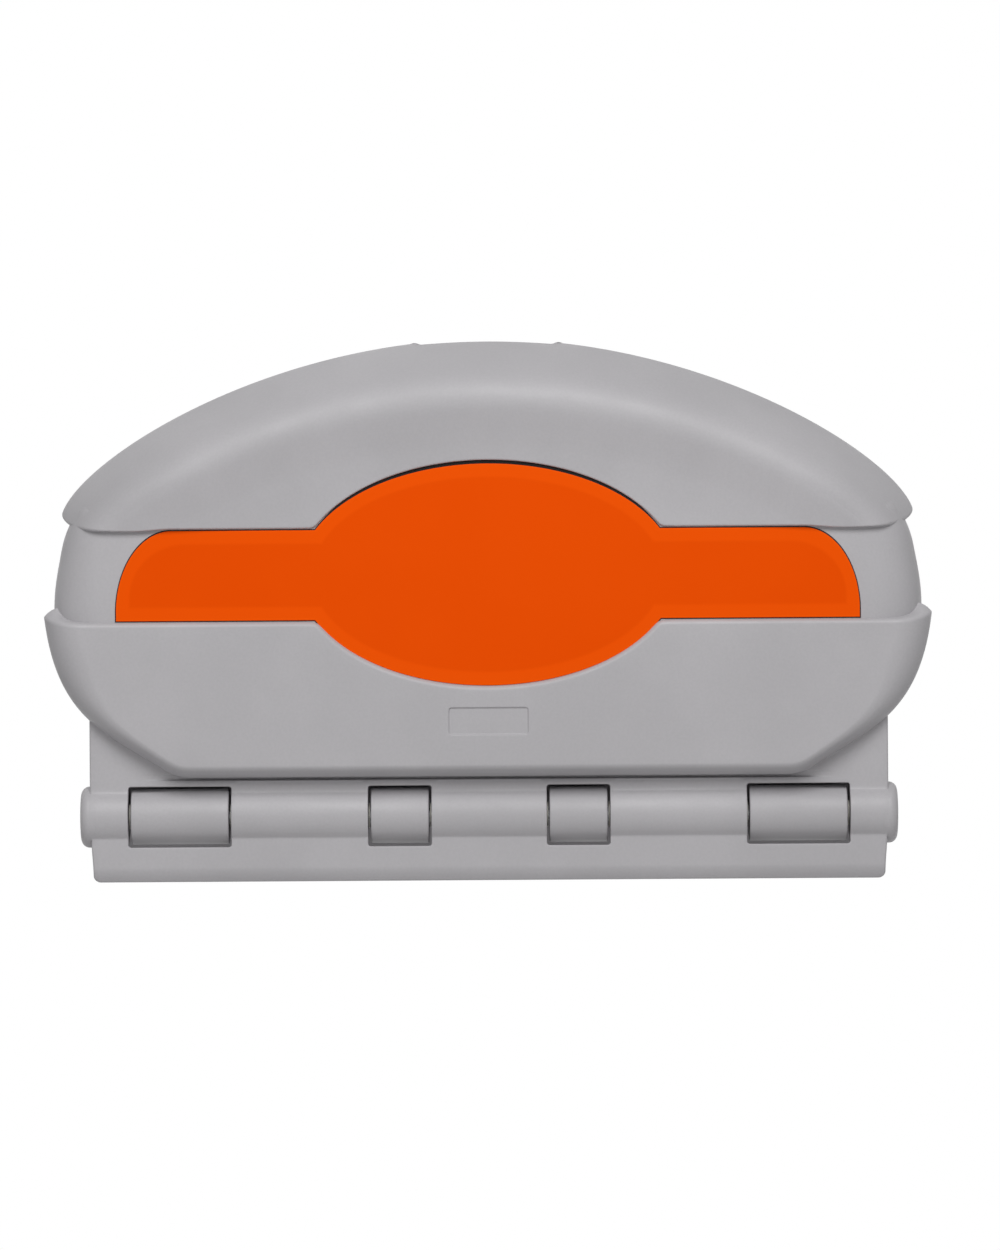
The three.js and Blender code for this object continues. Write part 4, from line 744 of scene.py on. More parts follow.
def knuckle_shape(x0, x1):
    """A fixed knuckle: a drum with rounded ends and a bore, its arm to the wall and a bolted foot."""
    a, b = x0 + KNUCKLE_GAP, x1 - KNUCKLE_GAP
    wide, deep = rounded_over(1.5, 7)
    left, right = (np.stack([x, KNUCKLE_R - deep], -1) for x in (a + wide, b - wide))
    drum = turned_shape(np.vstack([(a, 7.4), left[::-1], right, (b, 7.4)]))
    arm = [(-13, 3.3), (-13, 62), (13, 62), (13, 14), (14.2, 11), (17, 9.6), (20, 9.3), (58, 9.3), (58, 3.3)]
    return joined([drum, bar_shape(by_length(arm, 96, closed=True), a, b, 0.8, along_x=True)])


# Label


def label_outline(shrink, steps=48):
    """Anticlockwise: the lower arc of the ellipse, the wing's foot, its end as a quarter ellipse, its top
    and the upper arc; the left side mirrors the right. shrink moves the whole outline inwards."""
    a, b = LABEL_A - shrink, LABEL_B - shrink
    foot, top = LABEL_FOOT + shrink, LABEL_TOP - shrink
    low = np.arccos(min(1, abs(foot - LABEL_H) / b)) * np.linspace(0, 1, steps)
    high = np.arccos(min(1, abs(top - LABEL_H) / b)) * np.linspace(1, 0, steps)
    t = np.linspace(0, np.pi / 2, steps)
    end_x = LABEL_HALF - shrink - LABEL_END_RUN + LABEL_END_RUN * np.cos(t)
    end_h = foot + LABEL_END_FOOT + (top - foot - LABEL_END_FOOT) * np.sin(t)
    end_h[0] = foot
    return mirrored(np.vstack([
        np.stack([a * np.sin(low), LABEL_H - b * np.cos(low)], -1), np.stack([end_x, end_h], -1),
        np.stack([a * np.sin(high), LABEL_H + b * np.cos(high)], -1),
    ]))


def label_fill(start, count):
    """Flat faces inside a ring of the label: level strips from its right side to its left, with the wings'
    straight foot and top as extra corners of the first and last strip between them."""
    half = count // 2 + 1
    steps = half // 3
    left = start + count - np.arange(half)
    faces = [(start, start + 1, left[1]), (start + half - 2, start + half - 1, left[half - 2])]
    for i in range(1, half - 2):
        if i in (steps - 1, 2 * steps - 1):
            continue
        right = [start + i, start + i + 1]
        other = [left[i + 1], left[i]]
        if i == steps:
            right, other = [start + i - 1] + right, other + [left[i - 1]]
        if i == 2 * steps - 2:
            right, other = right + [start + i + 2], [left[i + 2]] + other
        faces.append(tuple(int(k) for k in right + other))
    return faces


def label_rings(steps):
    """A closed skin through outlines of the label, each shrunk by a distance and at a depth, with its two
    ends filled. Where it is grown instead, for the black tape that paints the shade in the gap round the
    label, it grows most over the top, where the crown's lip shades that gap most."""
    rings = []
    for shrink, depth in steps:
        line = label_outline(shrink)
        # Grown rings reach further up over the top, where the painted shade under the crown's lip is widest
        line[:, 1] += max(-shrink, 0) * 1.7 * smoothstep(298, 330, line[:, 1])
        rings.append(np.column_stack([line, np.full(len(line), depth)]))
    points, faces = patch(np.stack(rings), close_columns=True)
    count = len(rings[0])
    return points, faces + label_fill((len(rings) - 1) * count, count) + label_fill(0, count)


def label_shape():
    """From the back edge over a small radius and in across the face; and each point's distance inwards."""
    steps = [(0, LABEL_BACK), (0, LABEL_FRONT - 0.4), (0.12, LABEL_FRONT - 0.12), (0.4, LABEL_FRONT)]
    steps += [(s, LABEL_FRONT) for s in (1, 2, 4, 7, 10, 12, 13, 14, 15, 16, 18)]
    points, faces = label_rings(steps)
    return points, faces, np.repeat([s for s, _ in steps], len(points) // len(steps))


def shade_tape_shape():
    """The black foam tape under the label, standing out a little round it: painted shade, a dark sheet where
    the gap round the label lies in shade.
    """
    return label_rings([(-1.1, 122.0), (-1.1, 123.15), (-0.8, 123.25), (6, 123.25)])


# Tray


def bed_outline(angles):
    """The union of crown, belt, apron and hinge block as seen from behind, along each angle: the furthest
    of those whose height is in range there."""
    direction = np.stack([np.cos(angles), np.sin(angles)], -1)
    right = bezier(CROWN_ARCH, np.linspace(0.0957, 1, 400))
    a = np.linspace(np.pi / 2, 0, 8)[:-1, None]
    right = np.vstack([right[0] - 5 * np.hstack([1 - np.cos(a), np.sin(a)]), right])
    crown = np.vstack([right, right[-2::-1] * (-1, 1)])
    belt = table_outline(BELT_OUTLINE, BELT_HALF, BELT_LOW, BELT_HIGH, 400)
    line = apron_outline()
    line[:, 0] -= np.maximum(line[:, 1] - RIM_CREST, 0)
    apron = np.vstack([line, line[:0:-1] * (-1, 1)])
    block = by_length([(-BLOCK_HALF, 140), (-BLOCK_HALF, 31), (BLOCK_HALF, 31), (BLOCK_HALF, 140)], 1200)
    radii = []
    for shape, low, high in ((crown, 311.3, 600), (belt, 0, 600), (apron, -10, 221), (block, 0, 112)):
        r = exit_radius(shape, angles)
        h = BED_MIDDLE[1] + r * direction[:, 1]
        radii.append(np.where((h >= low) & (h <= high), r, 0))
    x, h = (BED_MIDDLE + np.max(radii, axis=0)[:, None] * direction).T
    inside = 1 - smoothstep(GRIP_HALF, GRIP_HALF + GRIP_END, np.abs(x))
    return np.stack([x, h - (h > 400) * inside * np.maximum(h - GRIP_FLOOR_H, 0)], -1)


def tray_shape():
    """Rings about one centre: the bed's outline, in across the flange to the basin's rounded rim, down the
    curved wall and across the flat floor."""
    angles = np.linspace(-np.pi, np.pi, 1080, endpoint=False)
    out = np.stack([np.cos(angles), np.sin(angles)], -1)
    outer = bed_outline(angles)
    rim, floor = (BED_MIDDLE + exit_radius(basin_outline(run), angles)[:, None] * out
                  for run in (0, BASIN_RUN))
    rings = [(outer, 43.9), (outer, 41), (outer - 0.3 * out, 40.3), (outer - out, BED_BACK)]
    rings += [(outer - out + s * (rim + 3 * out - outer + out), BED_BACK) for s in (0.34, 0.67, 1)]
    rings += [(rim + 1.2 * out, 40.5), (rim + 0.2 * out, 42.2)]
    wall = through(BASIN_WALL, np.linspace(0, 1, 22))
    rings += [(rim + w * (floor - rim), BED_BACK + v * BASIN_DEPTH)
              for w, v in wall[1:] if v * BASIN_DEPTH > 3]
    grid = np.stack([np.column_stack([line, np.full(len(line), level)]) for line, level in rings])
    return patch(grid, close_columns=True, caps=("last",))


# Straps


def strap_line(edge, way, end):
    """Depth and height of the strap's middle: down the basin's wall, a fixed distance off it, and along
    the floor to the buckle."""
    share, deep = through(BASIN_WALL, np.linspace(0.12, 1, 30)).T
    line = np.stack([BED_BACK + deep * BASIN_DEPTH, edge + way * share * BASIN_RUN], -1)
    along = unit(np.gradient(line, axis=0))
    line = line + STRAP_OFF * np.stack([-np.abs(along[:, 1]), way * along[:, 0]], -1)
    return np.vstack([line, [(BED_BACK + BASIN_DEPTH - STRAP_OFF, end)]])


def strap_shape(edge, way, end):
    """A flat band: the line carried across its width, with rounded edges; u and v in metres for the weave."""
    line = by_length(strap_line(edge, way, end), 90)
    length = np.linalg.norm(np.diff(line, axis=0), axis=1).sum()
    normal = inward(line, closed=False)
    w, t = STRAP_WIDTH / 2 - STRAP_EDGE, STRAP_THICK / 2
    flat = np.linspace(-w, w, 15)
    a = np.linspace(-np.pi / 2, np.pi / 2, 5)[1:-1]
    across = np.concatenate([flat, w + STRAP_EDGE * np.cos(a), flat[::-1], -w - STRAP_EDGE * np.cos(a)])
    lift = np.concatenate([np.full(15, -t), t * np.sin(a), np.full(15, t), -t * np.sin(a)])
    d, h = (line[:, k, None] + lift * normal[:, k, None] for k in (0, 1))
    points, faces = patch(np.stack([np.broadcast_to(across, h.shape), h, d], -1), close_columns=True,
                          caps=("first", "last"))
    u = np.repeat(np.linspace(0, length, len(line)), len(across))
    return points, faces, np.stack([u, np.tile(across, len(line))], -1) * MM, length * MM


# Colours and materials


def linear(code):
    """An sRGB hex colour such as 0xB4B3B6 as linear red, green, blue and alpha."""
    channel = np.array([(code >> shift) & 255 for shift in (16, 8, 0)]) / 255
    value = np.where(channel <= 0.04045, channel / 12.92, ((channel + 0.055) / 1.055) ** 2.4)
    return (*value.tolist(), 1.0)


def tinted(base, factor):
    """A colour made lighter or darker."""
    return tuple(min(1, c * factor) for c in tuple(base)[:3]) + (1.0,)


def colour(name, description, code):
    return bpy.props.FloatVectorProperty(
        name=name, description=description, subtype="COLOR", size=4, min=0, max=1, default=linear(code))


def length(name, description, default, low, high):
    return bpy.props.FloatProperty(
        name=name, description=description, default=default, min=low, max=high, unit="LENGTH")


class StationSizes(bpy.types.PropertyGroup):
    """Sizes that can be changed without touching the solid model."""

    wall: length("Shell wall", "Thickness of the moulded skins", SHELL_WALL * MM, 0.0005, 0.004)
    grain: length("Plastic grain", "Width of one grain of the moulded texture", 0.0013, 0.0002, 0.01)
    # Width of the painted highlight along the label's edge
    band: length("Label band", "Width of the brighter band inside the label's edge", 0.0145, 0, 0.05)
    floor_drop: length("Floor", "Distance of the floor below the part's origin", 1.10, 0.3, 3)
    camera_distance: length(
        "Camera distance", "From the lens to the plane that the frame was measured in", 6.0, 1, 20)


class StationColours(bpy.types.PropertyGroup):
    """Base colours of the finishes."""

    shell: colour("Shell", "Grey moulded bed and housing", 0xB3B1B4)
    trim: colour("Trim", "Grey moulded fittings", 0xADABAE)
    orange: colour("Label", "Printed orange inside the band", 0xF05000)
    # A painted highlight: lighter orange along the label's edge for the light on the film's curl, not a
    # second printed colour
    orange_painted_highlight: colour("Label band", "Printed orange along the edge", 0xF95804)
    rubber: colour("Rubber", "Bumpers and pads", 0x2B2B2C)
    nylon: colour("Nylon", "Hinge bushes", 0xE6E3DA)
    webbing: colour("Webbing", "Safety strap", 0x3A3B3F)
    dark: colour("Dark plastic", "Buckle and lock", 0x39393B)


def add_node(tree, kind, inputs=None, **settings):
    """Adds one node, sets its fields and gives its inputs a value or a link from another node's socket."""
    made = tree.nodes.new("ShaderNode" + kind)
    for key, value in settings.items():
        setattr(made, key, value)
    for key, value in (inputs or {}).items():
        if isinstance(value, bpy.types.NodeSocket):
            tree.links.new(value, made.inputs[key])
        else:
            made.inputs[key].default_value = value
    return made


def mixed(tree, share, a, b):
    """A colour mix; share, a and b are values or sockets."""
    return add_node(tree, "Mix", {0: share, 6: a, 7: b}, data_type="RGBA").outputs[2]


def maths(tree, operation, *values):
    return add_node(tree, "Math", dict(enumerate(values)), operation=operation).outputs[0]


def ramp(tree, value, low, high, to_low=0, to_high=1, smooth=True):
    """A value carried from one range to another, clamped."""
    return add_node(
        tree, "MapRange",
        {"Value": value, "From Min": low, "From Max": high, "To Min": to_low, "To Max": to_high},
        interpolation_type="SMOOTHSTEP" if smooth else "LINEAR",
    ).outputs["Result"]


def object_spot(tree, stretch=None):
    """The piece's own coordinates, scaled by stretch along its axes."""
    spot = add_node(tree, "TexCoord").outputs["Object"]
    if stretch:
        return add_node(tree, "Mapping", {"Vector": spot, "Scale": stretch}).outputs["Vector"]
    return spot


def noise(tree, size, detail=2.0, rough=0.5, stretch=None):
    """Noise on the piece's own coordinates whose blobs are about size metres across."""
    return add_node(tree, "TexNoise", {"Vector": object_spot(tree, stretch), "Scale": 0.5 / size,
                                       "Detail": detail, "Roughness": rough}).outputs["Fac"]


def bumped(tree, height, distance, strength=0.5, **under):
    inputs = {"Height": height, "Distance": distance, "Strength": strength, **under}
    return add_node(tree, "Bump", inputs).outputs["Normal"]


def finish(name, paint, *values):
    """The material of a name, made when it is first asked for: paint(tree, *values) adds the nodes and
    gives the principled shader's inputs."""
    material = bpy.data.materials.get(name)
    if material is None:
        material = bpy.data.materials.new(name)
        material.use_nodes = True
        tree = material.node_tree
        tree.nodes.clear()
        shader = add_node(tree, "BsdfPrincipled", paint(tree, *values))
        add_node(tree, "OutputMaterial", {"Surface": shader.outputs["BSDF"]})
    return material


def moulded_plastic(tree, base, grain, roughness):
    """Polyethylene moulded in a spark-eroded tool: a fine even grain that breaks up the highlight, a faint
    cloudiness from the flow, and slightly glossier patches where hands have been. The grain is drawn
    at 1.3 mm instead of the real 0.2 mm so that it shows."""
    speck = noise(tree, grain, 3, 0.6)
    tone = mixed(tree, ramp(tree, noise(tree, 0.09, 3), 0.35, 0.65), tinted(base, 0.955), tinted(base, 1.03))
    tone = mixed(tree, ramp(tree, speck, 0.3, 0.7, 0.0, 0.09), tone, tinted(base, 0.55))
    wave = bumped(tree, noise(tree, 0.012, 1), 0.00010, 0.35, Normal=bumped(tree, speck, 0.00012, 0.55))
    rough = ramp(tree, noise(tree, 0.03, 4), 0.3, 0.7, roughness - 0.05, roughness + 0.06)
    return {"Base Color": tone, "Roughness": rough, "IOR": 1.5, "Normal": wave}


def printed_label(tree, inside, highlight_colour, band):
    """Polycarbonate film printed orange on its back and laid on foam: satin, very smooth, with a painted
    highlight: a lighter orange band along the edge, where the film curls down to it. The band follows the
    attribute edge_distance, in mm."""
    distance = add_node(tree, "Attribute", attribute_name="edge_distance").outputs["Fac"]
    inner = ramp(tree, distance, band * 0.8, band * 1.1, 0.3, 1)
    share = maths(tree, "MULTIPLY", inner, ramp(tree, distance, 0.0, 4.0))
    # Painted highlight: near the edge the lighter orange takes over
    tone = mixed(tree, share, tuple(highlight_colour), tuple(inside))
    tone = mixed(tree, ramp(tree, noise(tree, 0.05, 2), 0.35, 0.65, 0, 0.12), tone, tuple(highlight_colour))
    rough = ramp(tree, noise(tree, 0.02, 3), 0.3, 0.7, 0.4, 0.48)
    return {"Base Color": tone, "Roughness": rough, "IOR": 1.58, "Specular IOR Level": 0.02,
            "Normal": bumped(tree, noise(tree, 0.0011, 2), 0.00004, 0.4)}


def shade_foam_tape(tree):
    """Closed-cell polyethylene foam: black, dull, with fine pores. Its black is painted shade for the gap
    round the label.
    """
    pores = noise(tree, 0.0006, 2)
    return {"Base Color": mixed(tree, ramp(tree, pores, 0.4, 0.6), linear(0x141414), linear(0x242322)),
            "Roughness": 0.9, "Normal": bumped(tree, pores, 0.0003, 0.6)}


def moulded_rubber(tree, base):
    """Black rubber, compression moulded: matt with a slight bloom and a fine dimple."""
    bloom = ramp(tree, noise(tree, 0.008, 4), 0.4, 0.75, 0, 0.35)
    return {"Base Color": mixed(tree, bloom, tuple(base), linear(0x4A4A4B)), "Roughness": 0.78, "IOR": 1.52,
            "Normal": bumped(tree, noise(tree, 0.0008, 2), 0.0001)}


def turned_nylon(tree, base):
    """Nylon turned on a lathe: milky white with fine rings round its axis."""
    rings = add_node(tree, "TexWave", {"Vector": object_spot(tree), "Scale": 320.0, "Distortion": 0.6,
                                       "Detail": 1.0}, bands_direction="X").outputs["Fac"]
    tone = mixed(tree, ramp(tree, noise(tree, 0.01, 2), 0.3, 0.7, 0, 0.5), tuple(base), linear(0xD6D2C6))
    return {"Base Color": tone, "Roughness": 0.42, "IOR": 1.53, "Subsurface Weight": 0.05,
            "Normal": bumped(tree, rings, 0.00003)}


def zinc_plated_steel(tree):
    """Rolled steel, zinc plated: a soft grey metal with a faint spangle and rolling streaks along x."""
    streak = noise(tree, 0.5 / 900, 3, stretch=(0.04, 1, 1))
    spangle = add_node(tree, "TexVoronoi", {"Vector": object_spot(tree), "Scale": 180.0}).outputs["Color"]
    grey = add_node(tree, "SeparateColor", {"Color": spangle}).outputs["Red"]
    tone = mixed(tree, ramp(tree, grey, 0, 1, smooth=False), linear(0xA3A7AC), linear(0xB6BABF))
    return {"Base Color": tone, "Metallic": 1.0, "Roughness": ramp(tree, streak, 0.3, 0.7, 0.32, 0.46),
            "Normal": bumped(tree, streak, 0.00004, 0.4)}


def ground_steel(tree):
    """Bright drawn and ground steel: darker and glossier than the plated sheet, with fine cross rings."""
    rings = noise(tree, 0.5 / 1400, stretch=(1, 0.1, 0.1))
    tone = mixed(tree, ramp(tree, noise(tree, 0.012, 3), 0.35, 0.7), linear(0x8B8D90), linear(0x9C9EA1))
    return {"Base Color": tone, "Metallic": 1.0, "Roughness": ramp(tree, rings, 0.3, 0.7, 0.2, 0.32),
            "Normal": bumped(tree, rings, 0.00003, 0.4)}


def dark_plastic(tree, base):
    """Acetal, injection moulded and near black: fine satin grain with rubbed, lighter patches."""
    rub = ramp(tree, noise(tree, 0.01, 4), 0.5, 0.8, 0, 0.4)
    return {"Base Color": mixed(tree, rub, tuple(base), linear(0x4B4B4E)), "Roughness": 0.42, "IOR": 1.48,
            "Normal": bumped(tree, noise(tree, 0.0007, 2), 0.00006)}


def woven_webbing(tree, base):
    """Polyester webbing, plain woven: ribs across the strap every 1.6 mm, split by warp ends every 2 mm,
    with a soft sheen. Drawn on the strap's own u (along) and v (across), in metres."""
    uv = add_node(tree, "UVMap", uv_map="weave").outputs["UV"]
    parts = add_node(tree, "SeparateXYZ", {"Vector": uv})
    rib, warp = (maths(tree, "SINE", maths(tree, "MULTIPLY", parts.outputs[axis], 2 * np.pi / pitch))
                 for axis, pitch in (("X", 0.0016), ("Y", 0.002)))
    height = ramp(tree, maths(tree, "MULTIPLY", rib, warp), -1, 1, smooth=False)
    return {"Base Color": mixed(tree, height, tinted(base, 0.6), tinted(base, 1.35)), "Roughness": 0.85,
            "Sheen Weight": 0.25, "Sheen Roughness": 0.4, "Normal": bumped(tree, height, 0.0004, 0.8)}


def materials():
    """The finish of each material slot."""
    c, s = bpy.context.scene.station_colours, bpy.context.scene.station_sizes
    return {
        "grey_shell": finish("moulded_polyethylene", moulded_plastic, c.shell, s.grain, 0.5),
        "grey_trim": finish("moulded_polyethylene_trim", moulded_plastic, c.trim, s.grain, 0.48),
        "orange_panel": finish("printed_polycarbonate", printed_label, c.orange, c.orange_painted_highlight, s.band / MM),
        "rubber": finish("moulded_rubber", moulded_rubber, c.rubber),
        "nylon": finish("turned_nylon", turned_nylon, c.nylon),
        "webbing": finish("woven_polyester", woven_webbing, c.webbing),
        "dark_plastic": finish("moulded_acetal", dark_plastic, c.dark),
        "zinc_steel": finish("zinc_plated_steel", zinc_plated_steel),
        "steel": finish("ground_steel", ground_steel),
    }


# Stage


def seen_directly(tree):
    """1 for rays from the camera, mirrors and clear pieces, and 0 for the rest."""
    rays = add_node(tree, "LightPath").outputs
    seen = maths(tree, "MAXIMUM", rays["Is Camera Ray"], rays["Is Glossy Ray"])
    return maths(tree, "MAXIMUM", seen, rays["Is Transmission Ray"])


def mixed_shaders(tree, share, a, b):
    return add_node(tree, "MixShader", {0: share, 1: a, 2: b}).outputs[0]


def add_floor(drop, reach=3.4):
    """A pale painted floor: to the camera it is white, and still takes the object's shadow. It fades out
    towards its rim, so that it has no horizon, and isn't there from below."""
    mesh = bpy.data.meshes.new("floor")
    corners = [(reach * x, reach * y, -drop) for x, y in ((-1, -1), (1, -1), (1, 1), (-1, 1))]
    mesh.from_pydata(corners, [], [(0, 1, 2, 3)])
    new_object("floor", mesh)
    material = bpy.data.materials.new("painted_floor")
    material.use_nodes = True
    tree = material.node_tree
    tree.nodes.clear()
    spot = object_spot(tree)
    cloud = add_node(tree, "TexNoise", {"Vector": spot, "Scale": 2.0}).outputs["Fac"]
    tone = mixed(tree, ramp(tree, cloud, 0.3, 0.7), linear(0xE4E4E4), linear(0xEAEAEA))
    plain = add_node(tree, "BsdfDiffuse", {"Color": tone}).outputs[0]
    glow = add_node(tree, "Emission", {"Color": (1, 1, 1, 1), "Strength": 0.55}).outputs[0]
    lit = add_node(tree, "AddShader", {0: plain, 1: glow}).outputs[0]
    away = add_node(tree, "VectorMath", {0: spot}, operation="LENGTH").outputs["Value"]
    below = add_node(tree, "NewGeometry").outputs["Backfacing"]
    gone = maths(tree, "MAXIMUM", ramp(tree, away, 0.45 * reach, 0.95 * reach), below)
    clear = add_node(tree, "BsdfTransparent").outputs[0]
    surface = mixed_shaders(tree, gone, mixed_shaders(tree, seen_directly(tree), plain, lit), clear)
    add_node(tree, "OutputMaterial", {"Surface": surface})
    mesh.materials.append(material)


def add_world():
    """Dim white light from all sides, which is seen as plain white."""
    world = bpy.context.scene.world = bpy.data.worlds.new("studio")
    world.use_nodes = True
    tree = world.node_tree
    tree.nodes.clear()
    soft, white = (add_node(tree, "Background", {"Color": (1, 1, 1, 1), "Strength": strength}).outputs[0]
                   for strength in (0.28, 1.0))
    add_node(tree, "OutputWorld", {"Surface": mixed_shaders(tree, seen_directly(tree), soft, white)})


def add_light(name, place, size, power):
    """A rectangular lamp that looks at the middle of the station."""
    lamp = bpy.data.lights.new(name, "AREA")
    lamp.shape = "RECTANGLE"
    lamp.size, lamp.size_y = size
    lamp.energy = power
    light = new_object(name, lamp)
    light.location = place
    light.rotation_euler = (Vector((0, -0.1, 0)) - light.location).to_track_quat("-Z", "Y").to_euler()


def add_camera(distance):
    """The photograph: level, dead on, 1293.75 mm high midway between the front and the outline's plane,
    with its middle a little right of the station's, and the station turned 0.37 degrees."""
    camera = bpy.data.cameras.new("camera")
    camera.sensor_width = 36.0
    camera.lens = camera.sensor_width * distance / 1.29375
    view = new_object("camera", camera)
    view.location = (0.0124, -(0.095 + distance), -0.0134)
    view.rotation_euler = (np.pi / 2, np.radians(0.37), 0)
    bpy.context.scene.camera = view


# Operators


class STATION_OT_stage(bpy.types.Operator):
    """Adds the floor, the lights, the world and the camera"""

    bl_idname = "station.stage"
    bl_label = "Stage and camera"

    def execute(self, context):
        sizes = context.scene.station_sizes
        add_floor(sizes.floor_drop)
        add_world()
        add_light("key", (0.0, -2.46, 1.85), (1.7, 1.5), 61.0)
        add_light("low", (0.0, -2.6, -0.75), (1.8, 0.9), 3.2)
        add_camera(sizes.camera_distance)
        context.scene.view_settings.view_transform = "Standard"
        return {"FINISHED"}


class STATION_OT_crown(bpy.types.Operator):
    """Builds the arched crown with its ridge, cove, lower edge and hand grip"""

    bl_idname = "station.crown"
    bl_label = "Crown"

    def execute(self, context):
        make_piece("bed_crown", crown_shape(), "bed_outer_shell", look=(0, 900, 1500))
        return {"FINISHED"}


class STATION_OT_belt(bpy.types.Operator):
    """Builds the recessed belt between crown and apron"""

    bl_idname = "station.belt"
    bl_label = "Belt"

    def execute(self, context):
        make_piece("bed_belt", belt_shape(), "bed_outer_shell", look=(0, 250, 2500))
        return {"FINISHED"}


class STATION_OT_apron(bpy.types.Operator):
    """Builds the basin-shaped apron with its rolled rim and blank inset"""

    bl_idname = "station.apron"
    bl_label = "Apron"

    def execute(self, context):
        make_piece("bed_apron", apron_shape(), "bed_outer_shell", look=(0, -300, 2000))
        return {"FINISHED"}


class STATION_OT_hinge(bpy.types.Operator):
    """Builds the hinge strip with its windows, the barrel, its end caps and the four fixed knuckles"""

    bl_idname = "station.hinge"
    bl_label = "Hinge"

    def execute(self, context):
        make_piece("bed_hinge_front", hinge_shape(), "bed_outer_shell", look=(0, 0, 2500), sharp=60)
        make_piece("bed_hinge_core", hinge_core_shape(), "bed_outer_shell", sharp=50)
        for name, side in (("left", -1), ("right", 1)):
            make_piece(f"barrel_end_{name}", end_cap_shape(side), f"barrel_end_cap_{name}", sharp=50)
        for name, window in zip(("outer_left", "inner_left", "inner_right", "outer_right"), WINDOWS):
            make_piece(f"knuckle_{name}", knuckle_shape(*window), f"hinge_knuckle_{name}", body="wall_unit",
                       sharp=50)
        return {"FINISHED"}


class STATION_OT_label(bpy.types.Operator):
    """Builds the orange label and the black foam tape that shows round it as painted shade in the gap"""

    bl_idname = "station.label"
    bl_label = "Label"

    def execute(self, context):
        points, faces, distance = label_shape()
        label = make_piece("label_film", (points, faces), "front_label", "orange_panel", sharp=40, weld=0.0)
        attribute = label.data.attributes.new("edge_distance", "FLOAT", "POINT")
        if len(label.data.vertices) != len(distance):
            raise RuntimeError("the label's points were merged, so its band has lost its place")
        attribute.data.foreach_set("value", distance.astype(np.float32))
        # The black tape is painted shade: it darkens the gap round the label
        make_piece("label_shade_tape", shade_tape_shape(), "front_label", "rubber", sharp=40,
                   made_of=finish("shade_foam_tape", shade_foam_tape))
        return {"FINISHED"}


class STATION_OT_tray(bpy.types.Operator):
    """Builds the tray with its flange and basin"""

    bl_idname = "station.tray"
    bl_label = "Tray"

    def execute(self, context):
        make_piece("tray_basin", tray_shape(), "bed_tray", look=(0, 250, -1500), sharp=50)
        return {"FINISHED"}


class STATION_OT_straps(bpy.types.Operator):
    """Builds the two lengths of webbing that the buckle joins"""

    bl_idname = "station.straps"
    bl_label = "Straps"

    def execute(self, context):
        for name, edge, way, end in (("upper", BASIN_HIGH, -1, BUCKLE_TOP + 0.3),
                                     ("lower", BASIN_LOW, 1, BUCKLE_FOOT - 0.3)):
            points, faces, weave, long = strap_shape(edge, way, end)
            strap = make_piece(f"webbing_{name}", (points, faces), f"strap_{name}", "webbing", sharp=60,
                               weld=0.0)
            uv = strap.data.uv_layers.new(name="weave")
            corner = np.zeros(len(strap.data.loops), np.int32)
            strap.data.loops.foreach_get("vertex_index", corner)
            uv.data.foreach_set("uv", weave[np.minimum(corner, len(weave) - 1)].astype(np.float32).ravel())
        return {"FINISHED"}


def rounded_copy(node, slot, width):
    """A copy of a solid with its triangles merged to flat faces, crisp edges rounded and smooth shading."""
    source = frame["nodes"][node]
    mesh = source.data.copy()
    mesh.name = node + "_rounded"
    work = bmesh.new()
    work.from_mesh(mesh)
    bmesh.ops.remove_doubles(work, verts=work.verts, dist=3e-6)
    bmesh.ops.dissolve_limit(work, angle_limit=np.radians(0.3), verts=work.verts, edges=work.edges)
    bmesh.ops.recalc_face_normals(work, faces=work.faces)
    work.to_mesh(mesh)
    work.free()
    mesh.shade_smooth()
    mesh.materials.clear()
    mesh.materials.append(materials()[slot])
    piece = new_object(node + "_rounded", mesh)
    edge = piece.modifiers.new("edges", "BEVEL")
    edge.width = width * MM
    edge.segments = 3
    edge.limit_method = "ANGLE"
    edge.angle_limit = np.radians(35.0)
    flat = piece.modifiers.new("flat", "WEIGHTED_NORMAL")
    flat.mode = "FACE_AREA"
    flat.weight = 100
    flat.keep_sharp = True
    declare(piece, source["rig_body"], node)


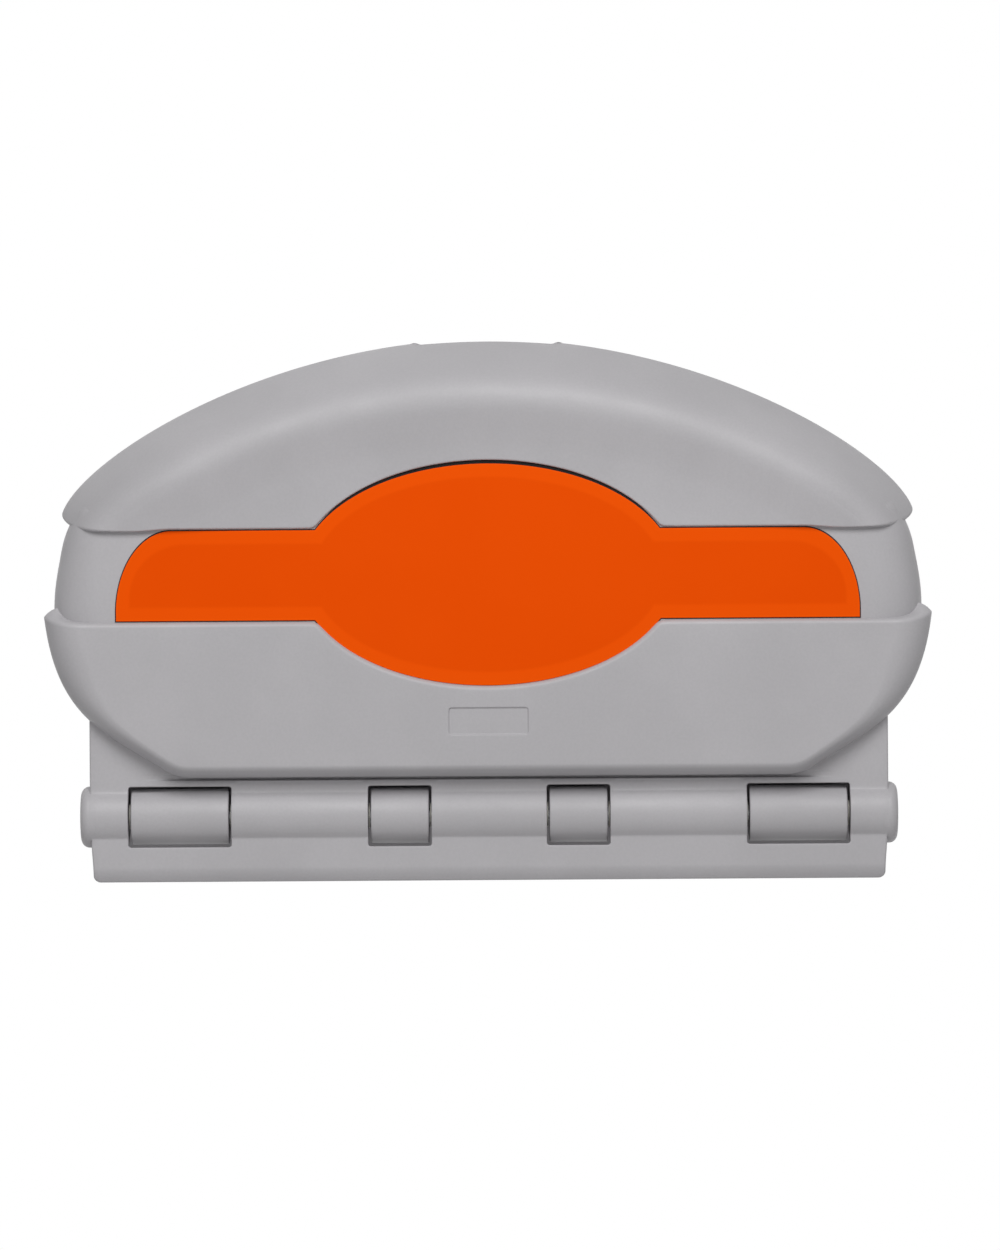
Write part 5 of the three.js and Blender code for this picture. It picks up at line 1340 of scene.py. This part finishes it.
class STATION_OT_fittings(bpy.types.Operator):
    """Rounds the edges of the housing and of the small moulded and steel fittings"""

    bl_idname = "station.fittings"
    bl_label = "Fittings"

    def execute(self, context):
        slots = {part["node"]: part["material_slot"] for part in frame["record"]["subparts"]}
        widths = {"wall_housing": 0.8, "refill_flap": 0.7, "flap_lock": 0.6, "buckle_frame": 0.8,
                  "buckle_lever": 0.6, "strap_anchor_upper": 0.6, "strap_anchor_lower": 0.6}
        for side in ("left", "right"):
            widths[f"bag_hook_{side}"] = 1.4
            widths[f"closing_bumper_{side}"] = 1.2
            widths[f"open_stop_pad_{side}"] = 1.2
        for i in range(1, 5):
            widths[f"bolt_cover_{i}"] = 0.5
        for node, width in widths.items():
            rounded_copy(node, slots[node], width)
        return {"FINISHED"}


class STATION_OT_finishes(bpy.types.Operator):
    """Gives each solid that still shows the finish of its material slot"""

    bl_idname = "station.finishes"
    bl_label = "Finishes"

    def execute(self, context):
        made = materials()
        for part in frame["record"]["subparts"]:
            for place in frame["nodes"][part["node"]].material_slots:
                place.link = "OBJECT"
                place.material = made[part["material_slot"]]
        return {"FINISHED"}


class STATION_PT_panel(bpy.types.Panel):
    """Lists the station's sizes, colours and steps"""

    bl_idname = "STATION_PT_panel"
    bl_label = "Changing station"
    bl_space_type = "VIEW_3D"
    bl_region_type = "UI"
    bl_category = "Station"

    def draw(self, context):
        for group in (context.scene.station_sizes, context.scene.station_colours):
            for key in group.__annotations__:
                self.layout.prop(group, key)
        for step in STEPS:
            self.layout.operator(step.bl_idname)


STEPS = (
    STATION_OT_stage, STATION_OT_crown, STATION_OT_belt, STATION_OT_apron, STATION_OT_hinge, STATION_OT_label,
    STATION_OT_tray, STATION_OT_straps, STATION_OT_fittings, STATION_OT_finishes,
)
CLASSES = (StationSizes, StationColours, *STEPS, STATION_PT_panel)


def register():
    for made in CLASSES:
        bpy.utils.register_class(made)
    bpy.types.Scene.station_sizes = bpy.props.PointerProperty(type=StationSizes)
    bpy.types.Scene.station_colours = bpy.props.PointerProperty(type=StationColours)


def unregister():
    del bpy.types.Scene.station_colours
    del bpy.types.Scene.station_sizes
    for made in reversed(CLASSES):
        bpy.utils.unregister_class(made)


def main():
    register()
    for step in STEPS:
        group, name = step.bl_idname.split(".")
        getattr(getattr(bpy.ops, group), name)()


if __name__ == "__main__":
    main()
